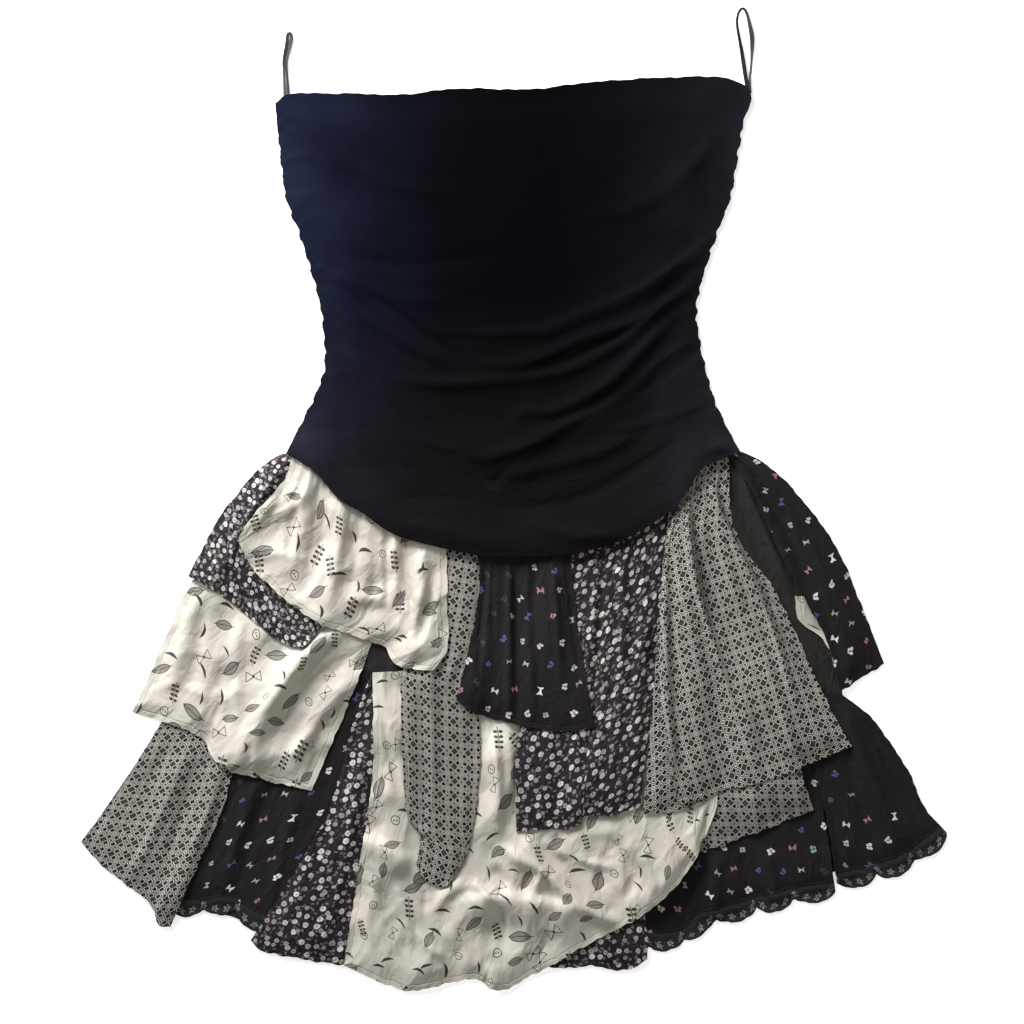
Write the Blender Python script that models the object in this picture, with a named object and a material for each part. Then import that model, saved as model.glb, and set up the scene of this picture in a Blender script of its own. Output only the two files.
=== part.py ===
"""A strapless tube dress laid out flat, face up: jersey bodice, black yoke and a skirt of loose patchwork panels.

The frame is in metres with +Z up. +Y points from the hem to the neckline, +X to the right of the laid-out dress,
and the origin is on the surface that the dress lies on, in the middle of its outline.
The tables below are in millimetres. Every panel is a wall of cloth that lies on the panels laid down before it.
"""

import math
from collections import namedtuple

import bmesh
import bpy
import numpy as np
from mathutils import Matrix

MM = 0.001

# Driving sizes, in millimetres
CLOTH = 1.2  # thickness of a wall of cloth
SEAM_GAP = 0.3  # free space between two pieces that are sewn together or lie on each other
TUCK = 8.0  # how far the top of a skirt panel runs up behind the bodice
LACE_WIDTH = 13.0
LACE_SCALLOP = 34.0  # length of one scallop along the hem
LACE_DIP = 7.0  # how far the edge draws in between two scallops
RIBBON_WIDTH = 2.8
RUCHE_DEPTH = 0.9  # how far the gathered side seams wander in and out
RUCHE_PITCH = 15.0
RUCHE_RISE = 1.2  # height of the short puckers beside the side seams
GATHER_RISE = 1.8  # height of the waves in which a panel's top is gathered
GATHER_FADE = 0.45  # share of a panel's length in which its gathers die away

# The pile's raster, in millimetres
CELL = 2.0
HALF_SPAN = 440.0
FINE = 14  # steps along a face's edge when its height is read or written
EASE = 2  # how often a layer's height is evened out where it steps over the layers below

# Colours of the cloths: red, green, blue and roughness
CLOTHS = {
    "jersey": (0.012, 0.012, 0.02, 0.85),
    "black_voile": (0.013, 0.013, 0.013, 0.8),
    "white_satin": (0.74, 0.72, 0.66, 0.4),
    "dotted_lawn": (0.14, 0.13, 0.145, 0.75),
    "lattice_lawn": (0.24, 0.24, 0.23, 0.75),
    "butterfly_voile": (0.03, 0.028, 0.034, 0.8),
    "lace": (0.02, 0.022, 0.02, 0.7),
    "ribbon": (0.02, 0.02, 0.03, 0.5),
}

# Seams and edges, as points from left to right
NECK = ((-190, 318), (-178, 325), (-140, 326), (-90, 325), (-40, 330), (10, 329), (78, 336), (150, 339),
        (176, 336), (187, 328))
WAIST = ((-181, 37), (-157, 22), (-140, 2), (-119, -11), (-101, -24), (-85, -31), (-53, -39), (-16, -45),
         (45, -43), (88, -32), (125, -10), (135, 1), (144, 15), (152, 26), (164, 31), (182, 39))
BACK_WAIST = ((-179, 37), (-90, 8), (0, -2), (90, 8), (180, 39))
YOKE_SEAM = ((-272, -160), (-200, -150), (-112, -138), (20, -136), (148, -146), (264, -155))

# Sides of the bodice: one row for each height
Side = namedtuple("Side", "height left right")
SIDES = (
    Side(318, -190, 187),
    Side(304, -189, 185),
    Side(266, -185, 179),
    Side(240, -181, 174),
    Side(211, -170, 163),
    Side(160, -155, 148),
    Side(128, -151, 150),
    Side(104, -151, 155),
    Side(80, -160, 162),
    Side(56, -172, 173),
    Side(37, -181, 182),
)

# Skirt panels in the order in which they lie, the lowest first. A panel hangs from its seam between two
# places across it, passes the points of its two edges, and ends at the points of its hem.
Panel = namedtuple("Panel", "name cloth seam start end left_edge right_edge hem gathers across down")
PANELS = (
    Panel("yoke_front", "black_voile", WAIST, -176, 178,
          ((-206, -30),), ((220, -46), (246, -98), (262, -138)),
          ((-262, -168), (-112, -150), (20, -147), (148, -157), (265, -163)), 0, 14, 5),
    Panel("lower_butterfly_left", "butterfly_voile", YOKE_SEAM, -225, -100,
          ((-252, -240),), ((-120, -250),),
          ((-280, -318), (-252, -322), (-225, -320), (-202, -334), (-160, -345)), 0, 8, 7),
    Panel("lower_dots_left", "dotted_lawn", YOKE_SEAM, -113, -60,
          ((-128, -180), (-146, -245), (-176, -300)), ((-70, -260),),
          ((-210, -353), (-199, -362), (-168, -368), (-135, -373), (-80, -378)), 0, 9, 9),
    Panel("lower_butterfly_right", "butterfly_voile", YOKE_SEAM, 60, 228,
          ((75, -250),), ((246, -230),),
          ((88, -350), (134, -347), (150, -334), (184, -324), (222, -314), (258, -308)), 0, 12, 8),
    Panel("lower_dots_right", "dotted_lawn", YOKE_SEAM, 5, 75,
          ((5, -260),), ((90, -250), (107, -340)),
          ((8, -368), (31, -375), (65, -374), (92, -377), (108, -368)), 0, 9, 7),
    Panel("lower_black_right", "butterfly_voile", YOKE_SEAM, 218, 263,
          ((246, -230),), ((289, -176), (317, -217), (330, -246)),
          ((259, -301), (283, -296), (309, -288), (333, -272), (344, -262)), 0, 8, 8),
    Panel("lower_lattice_left", "lattice_lawn", YOKE_SEAM, -271, -206,
          ((-311, -226),), ((-232, -246), (-252, -292), (-267, -326)),
          ((-346, -274), (-326, -296), (-292, -322), (-284, -340), (-274, -342)), 0, 9, 9),
    Panel("lower_lattice_right", "lattice_lawn", YOKE_SEAM, 112, 213,
          ((112, -220),), ((229, -212),),
          ((114, -285), (154, -280), (198, -265), (241, -248)), 0, 8, 6),
    Panel("lower_white_centre", "white_satin", YOKE_SEAM, -112, 150,
          ((-112, -220), (-124, -300)), ((162, -195),),
          ((-135, -373), (-85, -393), (-34, -384), (-10, -393), (25, -376), (65, -353), (107, -330),
           (141, -295), (161, -252), (164, -232)), 0, 20, 14),
    Panel("long_lattice_centre", "lattice_lawn", WAIST, -58, -22,
          ((-80, -110), (-89, -150), (-85, -247), (-74, -262), (-75, -282)), ((-27, -140), (-26, -213), (-34, -275)),
          ((-77, -291), (-71, -303), (-60, -309), (-50, -306), (-42, -295)), 2, 9, 16),
    Panel("middle_white_left", "white_satin", WAIST, -174, -96,
          ((-216, -2), (-258, -67), (-290, -138)), ((-106, -90), (-126, -150)),
          ((-305, -170), (-252, -188), (-240, -206), (-221, -218), (-161, -233)), 0, 16, 14),
    Panel("upper_dots_left", "dotted_lawn", WAIST, -181, -142,
          ((-206, 20), (-236, -18)), ((-144, -60),),
          ((-260, -61), (-226, -81), (-195, -107), (-170, -118), (-153, -102)), 3, 12, 9),
    Panel("upper_white_left", "white_satin", WAIST, -176, -53,
          ((-183, 15), (-207, -12)), ((-52, -85), (-52, -118)),
          ((-220, -32), (-203, -60), (-162, -94), (-128, -108), (-114, -113), (-103, -117), (-95, -130), (-80, -135),
           (-63, -136)),
          9, 33, 9),
    Panel("long_dots_right", "dotted_lawn", WAIST, 36, 128,
          ((12, -150), (3, -200)), ((124, -45), (114, -150)),
          ((3, -265), (50, -262), (58, -253), (80, -252), (102, -245)), 6, 24, 11),
    Panel("long_lattice_pleat", "lattice_lawn", WAIST, 126, 146,
          ((118, -80), (112, -164)), ((140, -120),),
          ((104, -251), (131, -248), (156, -240)), 0, 4, 9),
    Panel("long_lattice_right", "lattice_lawn", WAIST, 137, 173,
          ((122, -40), (117, -130), (123, -195)), ((178, -24), (212, -76), (250, -158)),
          ((130, -238), (138, -242), (166, -233), (215, -220), (271, -197)), 4, 20, 13),
    Panel("upper_butterfly_centre", "butterfly_voile", WAIST, -27, 45,
          ((-28, -85),), ((54, -112),),
          ((-45, -160), (-28, -171), (4, -180), (40, -185), (66, -181)), 6, 24, 9),
    Panel("white_slip_right", "white_satin", ((226, -77), (248, -77)), 226, 248,
          ((230, -97), (249, -112)), ((262, -108),),
          ((260, -139), (268, -140)), 0, 3, 6),
    Panel("upper_butterfly_right", "butterfly_voile", WAIST, 170, 182,
          ((196, 8), (220, -48), (238, -92)), ((206, 29), (240, -10), (268, -58)),
          ((263, -153), (278, -144), (298, -131)), 0, 9, 13),
)
LACED = {  # the panels with a lace edging: the edging's name and where along the hem it starts and ends
    "lower_butterfly_left": ("lace_lower_left", 0.0, 0.8),
    "lower_butterfly_right": ("lace_lower_right", 0.1, 1.0),
    "lower_black_right": ("lace_side_right", 0.0, 1.0),
}

# Largest folds: a soft ridge along a curve through three places, with its height and half its width
Fold = namedtuple("Fold", "piece start_x start_y via_x via_y end_x end_y rise spread")
FOLDS = (
    Fold("bodice_front", 163, 211, 31, 137, -84, 143, 3.5, 15),
    Fold("bodice_front", 153, 188, 0, 107, -138, 183, 4.5, 14),
    Fold("bodice_front", 147, 168, 25, 92, -92, 96, 4.0, 13),
    Fold("bodice_front", 145, 150, 51, 70, -9, 55, 4.0, 13),
    Fold("bodice_front", 127, 126, 25, 46, -81, 46, 4.5, 14),
    Fold("bodice_front", 140, 40, 39, -26, -97, 5, 3.5, 14),
    Fold("bodice_front", -125, 68, -80, 28, -40, 10, 3.0, 14),
    Fold("yoke_front", 184, 20, 204, -50, 240, -140, 3.0, 14),
    Fold("lower_lattice_left", -258, -170, -272, -240, -300, -304, 3.0, 16),
    Fold("lower_lattice_left", -222, -170, -240, -250, -276, -330, 4.0, 12),
    Fold("lower_butterfly_left", -200, -170, -222, -240, -240, -312, 3.0, 16),
    Fold("lower_dots_left", -95, -160, -135, -260, -175, -360, 3.0, 18),
    Fold("lower_butterfly_right", 128, -160, 150, -250, 166, -326, 3.0, 18),
    Fold("lower_butterfly_right", 200, -165, 222, -240, 238, -306, 4.0, 16),
    Fold("lower_black_right", 252, -162, 282, -220, 312, -280, 4.0, 16),
    Fold("lower_lattice_right", 190, -160, 200, -210, 210, -258, 3.0, 18),
    Fold("lower_white_centre", -98, -150, -100, -260, -104, -384, 4.0, 20),
    Fold("lower_white_centre", -16, -190, -8, -270, 50, -340, 6.0, 22),
    Fold("lower_white_centre", -40, -300, -50, -340, -60, -386, 4.0, 18),
    Fold("lower_white_centre", 70, -190, 100, -250, 118, -310, 4.0, 20),
    Fold("long_lattice_centre", -36, -44, -48, -160, -56, -300, 4.0, 14),
    Fold("long_lattice_centre", -50, -44, -76, -144, -82, -240, 3.0, 8),
    Fold("middle_white_left", -134, -100, -176, -138, -212, -206, 8.0, 18),
    Fold("middle_white_left", -236, -60, -262, -120, -268, -180, 3.5, 16),
    Fold("middle_white_left", -132, -140, -152, -180, -176, -226, 3.0, 14),
    Fold("upper_dots_left", -188, 26, -220, -20, -240, -66, 3.0, 14),
    Fold("upper_white_left", -165, 23, -174, -24, -184, -70, 6.0, 12),
    Fold("upper_white_left", -138, -4, -140, -48, -146, -96, 5.0, 16),
    Fold("upper_white_left", -96, -27, -98, -64, -112, -112, 6.0, 12),
    Fold("upper_white_left", -76, -33, -73, -72, -84, -130, 6.0, 9),
    Fold("upper_white_left", -60, -38, -58, -80, -64, -122, 5.0, 7),
    Fold("long_dots_right", 76, -40, 68, -144, 60, -246, 3.0, 18),
    Fold("long_dots_right", 106, -30, 98, -144, 88, -246, 3.0, 14),
    Fold("long_lattice_right", 146, 15, 146, -80, 152, -228, 5.0, 13),
    Fold("long_lattice_right", 155, 24, 178, -80, 196, -220, 6.0, 15),
    Fold("long_lattice_right", 166, 20, 210, -96, 240, -204, 5.0, 15),
    Fold("upper_butterfly_centre", -14, -44, -20, -110, -32, -166, 5.0, 7),
    Fold("upper_butterfly_centre", 2, -44, 0, -110, -6, -174, 5.0, 8),
    Fold("upper_butterfly_centre", 24, -44, 30, -110, 38, -180, 4.0, 12),
    Fold("upper_butterfly_right", 180, 32, 226, -40, 262, -128, 4.0, 10),
    Fold("upper_butterfly_right", 182, 36, 246, -22, 284, -118, 4.0, 9),
)

# Back of the skirt, one flat sheet
BACK_LEFT = ((-220, -60), (-276, -170))
BACK_RIGHT = ((222, -50), (262, -160), (306, -214))
BACK_HEM = ((-342, -270), (-290, -312), (-205, -340), (-120, -366), (0, -376), (60, -350), (109, -340), (184, -314),
            (259, -298), (340, -264))

# Hanger loops, as the ribbon's route
LOOP_RIGHT = ((184, 318), (184, 334), (179.5, 358), (178.5, 380), (183, 391), (189, 384), (191.5, 366), (189, 346),
              (187.5, 334), (187.5, 318))
LOOP_LEFT = ((-182, 316), (-183, 328), (-184.5, 350), (-183.7, 368), (-180.6, 374), (-178, 368), (-180.2, 350),
             (-179.6, 328), (-178.6, 316))


def spaced(points, count):
    """count + 1 places evenly spaced along a smooth curve through the points."""
    knots = np.array(points, float)
    if len(knots) == 2:
        return knots[0] + np.linspace(0, 1, count + 1)[:, None] * (knots[1] - knots[0])
    before = 2 * knots[0] - knots[1]
    after = 2 * knots[-1] - knots[-2]
    knots = np.vstack([before, knots, after])
    share = np.linspace(0, 1, 24, endpoint=False)[:, None]
    fine = []
    for a, b, c, d in zip(knots, knots[1:], knots[2:], knots[3:]):
        fine.append(0.5 * (2 * b + (c - a) * share + (2 * a - 5 * b + 4 * c - d) * share**2
                           + (3 * b - a - 3 * c + d) * share**3))
    fine = np.vstack(fine + [knots[-2:-1]])
    along = np.concatenate([[0], np.cumsum(np.linalg.norm(np.diff(fine, axis=0), axis=1))])
    at = np.linspace(0, along[-1], count + 1)
    return np.stack([np.interp(at, along, fine[:, k]) for k in range(fine.shape[1])], axis=1)


def stretch(curve, start, end):
    """The part of a left-to-right curve between two places across it, as 13 points."""
    fine = spaced(curve, 400)
    x = np.linspace(start, end, 13)
    return np.stack([x, np.interp(x, fine[:, 0], fine[:, 1])], axis=1)


def patch(top, hem, left, right, rows):
    """A grid of places that fills the four edges: rows holds the share of the length of each row."""
    u = np.linspace(0, 1, len(top))[None, :, None]
    v = np.array(rows, float)[:, None, None]
    sides = (1 - u) * left[:, None, :] + u * right[:, None, :]
    ends = (1 - v) * top[None, :, :] + v * hem[None, :, :]
    corners = (1 - v) * ((1 - u) * top[0] + u * top[-1]) + v * ((1 - u) * hem[0] + u * hem[-1])
    return sides + ends - corners


def edge(start, via, end, rows):
    """A side edge from its seam to its hem, read at the share of its length of each row."""
    fine = spaced((tuple(start), *via, tuple(end)), 200)
    at = np.linspace(0, 1, len(fine))
    return np.stack([np.interp(rows, at, fine[:, k]) for k in range(2)], axis=1)


def triangles(across, down):
    """The faces of a grid, two for each cell."""
    faces = []
    for row in range(down):
        for column in range(across):
            a = row * (across + 1) + column
            c = a + across + 1
            faces.append((a, c, a + 1))
            faces.append((a + 1, c, c + 1))
    return faces


class Pile:
    """The height of all that has been laid down, on a raster over the surface."""

    def __init__(self):
        side = int(2 * HALF_SPAN / CELL) + 1
        self.height = np.zeros((side, side))

    def cells(self, places):
        index = np.rint((places + HALF_SPAN) / CELL).astype(int)
        return index[..., 1], index[..., 0]

    def add(self, corners):
        """Lays down triangles, given as an array of triangle, corner and coordinate."""
        for spots in inside(corners):
            np.maximum.at(self.height, self.cells(spots[:, :2]), spots[:, 2])

    def rest(self, grid):
        """The lowest heights at which a sheet of cloth over the grid lies clear of the pile."""
        near = self.height.copy()
        for axis in (0, 1):
            near = np.maximum(near, np.maximum(np.roll(near, 1, axis), np.roll(near, -1, axis)))
        places = grid.reshape(-1, 2)
        faces = np.array(triangles(grid.shape[1] - 1, grid.shape[0] - 1))
        highest = np.zeros(len(faces))
        for spots in inside(places[faces]):
            highest = np.maximum(highest, near[self.cells(spots)])
        low = np.zeros(len(places))
        for corner in range(3):
            np.maximum.at(low, faces[:, corner], highest)
        floor = low.reshape(grid.shape[:2]) + SEAM_GAP
        low = floor
        for _ in range(EASE):
            framed = np.pad(low, 1, mode="edge")
            around = framed[:-2, 1:-1] + framed[2:, 1:-1] + framed[1:-1, :-2] + framed[1:-1, 2:]
            low = np.maximum(floor, (low + around) / 5)
        return low


def inside(corners):
    """Sets of places spread evenly over triangles, one place of each triangle at a time."""
    for i in range(FINE + 1):
        for j in range(FINE + 1 - i):
            yield (corners[:, 0] + i / FINE * (corners[:, 1] - corners[:, 0])
                   + j / FINE * (corners[:, 2] - corners[:, 0]))


def ridge(places, fold):
    """How far one fold lifts the cloth at each place. A skirt's fold is pinned at its seam and free at the hem."""
    points = ((fold.start_x, fold.start_y), (fold.via_x, fold.via_y), (fold.end_x, fold.end_y))
    line = spaced(points, 60)
    gaps = np.linalg.norm(places[..., None, :] - line, axis=-1)
    nearest = gaps.argmin(axis=-1) / (len(line) - 1)
    away = np.clip(gaps.min(axis=-1) / fold.spread, 0, 1)
    pinned = np.minimum(nearest, 1 - nearest) if fold.piece == "bodice_front" else nearest
    return fold.rise * np.cos(away * math.pi / 2) ** 2 * np.clip(4 * pinned + 0.15, 0, 1)


def lift(name, grid):
    """The highest of a piece's folds at the places of its grid."""
    total = np.zeros(grid.shape[:2])
    for fold in FOLDS:
        if fold.piece == name:
            total = np.maximum(total, ridge(grid, fold))
    return total


def gather(panel):
    """The waves of a gathered top, which die away down the panel."""
    u = np.linspace(0, 1, panel.across + 1)[None, :]
    v = np.linspace(0, 1, panel.down + 1)[:, None]
    waves = np.sin(math.pi * panel.gathers * (u + 0.03 * np.sin(5 * u + len(panel.name)))) ** 2
    return GATHER_RISE * waves * np.clip(1 - v / GATHER_FADE, 0, 1)


def material(name, cloth):
    red, green, blue, rough = CLOTHS[cloth]
    made = bpy.data.materials.new(f"{name}_{cloth}")
    made.use_nodes = True
    shader = made.node_tree.nodes["Principled BSDF"]
    shader.inputs["Base Color"].default_value = (red, green, blue, 1)
    shader.inputs["Roughness"].default_value = rough
    shader.inputs["Metallic"].default_value = 0
    return made


def wall(name, cloth, grid, low):
    """A wall of cloth: the underside at the heights low over the grid, and the face one thickness above it."""
    down, across = grid.shape[0] - 1, grid.shape[1] - 1
    points = np.concatenate([grid, low[..., None]], axis=2).reshape(-1, 3)
    model = bmesh.new()
    corners = [model.verts.new(point * MM) for point in points]
    for face in triangles(across, down):
        model.faces.new([corners[i] for i in face])
    grown = bmesh.ops.extrude_face_region(model, geom=model.faces[:], use_keep_orig=True)
    upper = [item for item in grown["geom"] if isinstance(item, bmesh.types.BMVert)]
    bmesh.ops.translate(model, verts=upper, vec=(0, 0, CLOTH * MM))
    bmesh.ops.recalc_face_normals(model, faces=model.faces[:])
    mesh = bpy.data.meshes.new(name)
    model.to_mesh(mesh)
    model.free()
    mesh.materials.append(material(name, cloth))
    bpy.context.scene.collection.objects.link(bpy.data.objects.new(name, mesh))


def lay(pile, name, cloth, grid, waves=0.0):
    """Lays one piece on the pile, makes its wall, and returns the height of its underside."""
    low = pile.rest(grid) + np.maximum(lift(name, grid), waves)
    put(pile, name, cloth, grid, low)
    return low


def put(pile, name, cloth, grid, low):
    """Makes a wall at given heights and adds it to the pile."""
    wall(name, cloth, grid, low)
    points = np.concatenate([grid, low[..., None] + CLOTH], axis=2).reshape(-1, 3)
    pile.add(points[np.array(triangles(grid.shape[1] - 1, grid.shape[0] - 1))])


def lace(pile, edging, hem, low):
    """A scalloped edging along a hem: it starts a seam gap off the cloth and stays at the hem's height."""
    name, start, end = edging
    first, last = (round(share * (len(hem) - 1)) for share in (start, end))
    line = np.concatenate([hem[first:last + 1], low[first:last + 1, None]], axis=1)
    ahead = np.gradient(line[:, :2], axis=0)
    outward = np.stack([ahead[:, 1], -ahead[:, 0]], axis=1) / np.linalg.norm(ahead, axis=1)[:, None]
    length = np.linalg.norm(np.diff(line[:, :2], axis=0), axis=1).sum()
    scallops = max(1, round(length / LACE_SCALLOP))
    inner, outer, heights = [], [], []
    for k in range(len(line) - 1):
        for share in (0.0, 0.25, 0.5, 0.75) + ((1.0,) if k == len(line) - 2 else ()):
            spot = (1 - share) * line[k] + share * line[k + 1]
            out = (1 - share) * outward[k] + share * outward[k + 1]
            arch = abs(math.sin(math.pi * scallops * (k + share) / (len(line) - 1)))
            inner.append(spot[:2] + out * SEAM_GAP * 1.5)
            outer.append(spot[:2] + out * (LACE_WIDTH - LACE_DIP * (1 - arch)))
            heights.append(spot[2])
    grid = np.stack([np.array(inner), np.array(outer)])
    put(pile, name, "lace", grid, np.maximum(pile.rest(grid), np.array([heights, heights])))


def pucker(places):
    """The waves of a gathered side seam, from -1 to 1 at each place along it."""
    along = np.concatenate([[0], np.cumsum(np.linalg.norm(np.diff(places, axis=0), axis=1))])
    waves = np.sin(2 * math.pi * along / RUCHE_PITCH + 1.3 * np.sin(along / 31))
    waves[0] = waves[-1] = 0
    return waves


def bodice_grid(waist, across, down):
    """The bodice's places and the height of the puckers along its side seams."""
    rows = np.linspace(0, 1, down + 1)
    left = [(s.left, s.height) for s in SIDES]
    right = [(s.right, s.height) for s in SIDES]
    left[-1], right[-1] = waist[0], waist[-1]
    right[0] = NECK[-1]
    left, right = spaced(left, down), spaced(right, down)
    wander = pucker(left), pucker(right)
    left[:, 0] -= RUCHE_DEPTH * wander[0]
    right[:, 0] += RUCHE_DEPTH * wander[1]
    u = np.linspace(0, 1, across + 1)[None, :]
    near_left, near_right = np.clip(1 - 6 * u, 0, 1), np.clip(6 * u - 5, 0, 1)
    rise = RUCHE_RISE * (near_left * (1 + wander[0][:, None]) + near_right * (1 + wander[1][:, None])) / 2
    return patch(spaced(NECK, across), spaced(waist, across), left, right, rows), rise


def skirt_grid(panel):
    rows = np.linspace(0, 1, panel.down + 1)
    top = stretch(panel.seam, panel.start, panel.end)
    if panel.seam is WAIST:
        top[:, 1] += TUCK
    top = spaced(top, panel.across)
    hem = spaced(panel.hem, panel.across)
    return patch(top, hem, edge(top[0], panel.left_edge, hem[0], rows),
                 edge(top[-1], panel.right_edge, hem[-1], rows), rows)


def back_grid(across, down):
    """The flat back of the skirt, a seam gap below the back of the bodice."""
    rows = np.linspace(0, 1, down + 1)
    top = spaced(BACK_WAIST, across) - (0, 1.5 * SEAM_GAP)
    hem = spaced(BACK_HEM, across)
    return patch(top, hem, edge(top[0], BACK_LEFT, hem[0], rows), edge(top[-1], BACK_RIGHT, hem[-1], rows), rows)


def ribbon_grid(route, steps):
    """A flat ribbon along a route: two places across it at each step."""
    line = spaced(route, steps)
    ahead = np.gradient(line, axis=0)
    across = np.stack([-ahead[:, 1], ahead[:, 0]], axis=1) / np.linalg.norm(ahead, axis=1)[:, None]
    return np.stack([line - across * RIBBON_WIDTH / 2, line + across * RIBBON_WIDTH / 2], axis=1)


def centre():
    """Moves the laid-out dress so that the origin is in the middle of its outline."""
    meshes = [thing.data for thing in bpy.data.objects]
    points = np.array([vertex.co for mesh in meshes for vertex in mesh.vertices])
    middle = (points.min(axis=0) + points.max(axis=0)) / 2
    for mesh in meshes:
        mesh.transform(Matrix.Translation((-middle[0], -middle[1], 0)))


def main():
    for thing in list(bpy.data.objects):
        bpy.data.objects.remove(thing)
    pile = Pile()
    back, _ = bodice_grid(BACK_WAIST, 4, 56)
    back[0, :, 1] -= 3
    put(pile, "bodice_back", "jersey", back, np.zeros(back.shape[:2]))
    skirt = back_grid(15, 9)
    put(pile, "skirt_back", "black_voile", skirt, np.zeros(skirt.shape[:2]))
    lay(pile, "hanger_loop_right", "ribbon", ribbon_grid(LOOP_RIGHT, 44))
    lay(pile, "hanger_loop_left", "ribbon", ribbon_grid(LOOP_LEFT, 40))
    for panel in PANELS:
        grid = skirt_grid(panel)
        low = lay(pile, panel.name, panel.cloth, grid, gather(panel))
        if panel.name in LACED:
            lace(pile, LACED[panel.name], grid[-1], low[-1])
    front, puckers = bodice_grid(WAIST, 14, 56)
    lay(pile, "bodice_front", "jersey", front, puckers)
    centre()


main()
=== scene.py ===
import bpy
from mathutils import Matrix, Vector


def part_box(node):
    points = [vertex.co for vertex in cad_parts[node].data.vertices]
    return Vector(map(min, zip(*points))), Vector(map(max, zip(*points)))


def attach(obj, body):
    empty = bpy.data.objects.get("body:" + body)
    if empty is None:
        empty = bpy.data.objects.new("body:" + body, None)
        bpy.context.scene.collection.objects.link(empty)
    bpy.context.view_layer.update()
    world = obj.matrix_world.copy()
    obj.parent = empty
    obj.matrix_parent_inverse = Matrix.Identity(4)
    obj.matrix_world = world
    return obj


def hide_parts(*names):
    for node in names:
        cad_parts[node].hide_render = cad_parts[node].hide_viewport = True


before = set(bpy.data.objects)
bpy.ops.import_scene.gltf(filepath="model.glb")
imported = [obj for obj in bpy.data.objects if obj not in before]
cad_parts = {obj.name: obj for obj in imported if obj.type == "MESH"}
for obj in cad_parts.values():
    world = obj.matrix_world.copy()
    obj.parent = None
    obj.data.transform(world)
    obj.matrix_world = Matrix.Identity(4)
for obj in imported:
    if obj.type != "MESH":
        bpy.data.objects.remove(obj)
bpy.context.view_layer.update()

# %% [markdown]
# # A strapless tube dress, laid out flat
# The real dress is a black jersey tube with gathered side seams, sewn at a dropped waist to a short skirt of loose
# patchwork panels. It lies face up on a pale floor and the camera looks straight down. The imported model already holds
# every piece as a plain wall of cloth, so this lesson lays a finer, thinner sheet on each wall: same seams, same order,
# same place. Everything is in metres in the scene and in millimetres in the tables, +Y towards the neckline, +Z up.

# %% Tools and units
import math
from collections import namedtuple

import bpy
import numpy as np
from mathutils import Vector
from mathutils.bvhtree import BVHTree

MM = 0.001

# %% [markdown]
# ## Camera
# A photograph of clothes laid on a floor is taken from straight above. The camera could be orthographic, but a long
# lens two metres up gives the same framing with the slight depth of a real picture. One pixel of the 1024 pixel frame
# is 0.8 mm of cloth. The tables below were drawn in a frame of their own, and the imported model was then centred, so
# the shift between the two is read from a seam corner whose place in the tables is known.

# %% Camera
SKIRT_CORNER = (-342.0, 38.55)  # the left and the top end of the back skirt in the tables
FRAME_MM = 1024 * 0.8
LENS, SENSOR = 100.0, 36.0
CLOTH_HEIGHT = 0.006  # metres: where the scale of the picture is exact
low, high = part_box("skirt_back")
SHIFT = np.array([low.x / MM, high.y / MM]) - SKIRT_CORNER  # from the tables' frame to the model's
eye = np.array([-0.4, -9.6]) + SHIFT
camera_data = bpy.data.cameras.new("camera")
camera_data.lens = LENS
camera_data.sensor_width = SENSOR
camera_data.clip_end = 30.0
camera = bpy.data.objects.new("camera", camera_data)
bpy.context.scene.collection.objects.link(camera)
camera.location = (eye[0] * MM, eye[1] * MM, FRAME_MM * MM * LENS / SENSOR + CLOTH_HEIGHT)
bpy.context.scene.camera = camera
print("shift in mm:", SHIFT.round(3), "camera at", [round(v, 4) for v in camera.location])

# %% [markdown]
# ## Floor and light
# The dress lies on a white floor in soft daylight. A lamp near the neckline draws the folds that run across, and its
# light falls off towards the hem. A low one far to the left draws the folds that run down the skirt, a weak one on the
# right keeps their far sides open, and the pale world fills the rest. A single lamp overhead would be simpler but
# flattens every fold.

# %% Floor and light
def linear(code, alpha=1.0):
    """A hex colour such as "#20242c" as the linear numbers that shaders expect."""
    parts = [int(code[i:i + 2], 16) / 255 for i in (1, 3, 5)]
    return (*[v / 12.92 if v <= 0.04045 else ((v + 0.055) / 1.055) ** 2.4 for v in parts], alpha)


def add(tree, kind, inputs=(), output=0, **settings):
    """Adds one shader node, sets and links it, and gives back one of its outputs."""
    made = tree.nodes.new("ShaderNode" + kind)
    for name, value in settings.items():
        setattr(made, name, value)
    for key, value in dict(inputs).items():
        if isinstance(value, bpy.types.NodeSocket):
            tree.links.new(value, made.inputs[key])
        else:
            made.inputs[key].default_value = value
    return made.outputs[output]


def new_material(name):
    """An empty node material and its tree."""
    made = bpy.data.materials.new(name)
    made.use_nodes = True
    made.node_tree.nodes.clear()
    return made, made.node_tree


def finish_material(made, **sockets):
    """Ends a material in one shader. A socket's name has its spaces written as underscores."""
    tree = made.node_tree
    shader = add(tree, "BsdfPrincipled", {name.replace("_", " "): value for name, value in sockets.items()})
    tree.links.new(shader, tree.nodes.new("ShaderNodeOutputMaterial").inputs["Surface"])
    return made


def paint(tree, under, over, share):
    """Paints one colour over another where share is 1. Each is a hex colour or a socket."""
    under, over = (linear(colour) if isinstance(colour, str) else colour for colour in (under, over))
    return add(tree, "Mix", {"Factor": share, 6: under, 7: over}, 2, data_type="RGBA")


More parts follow.
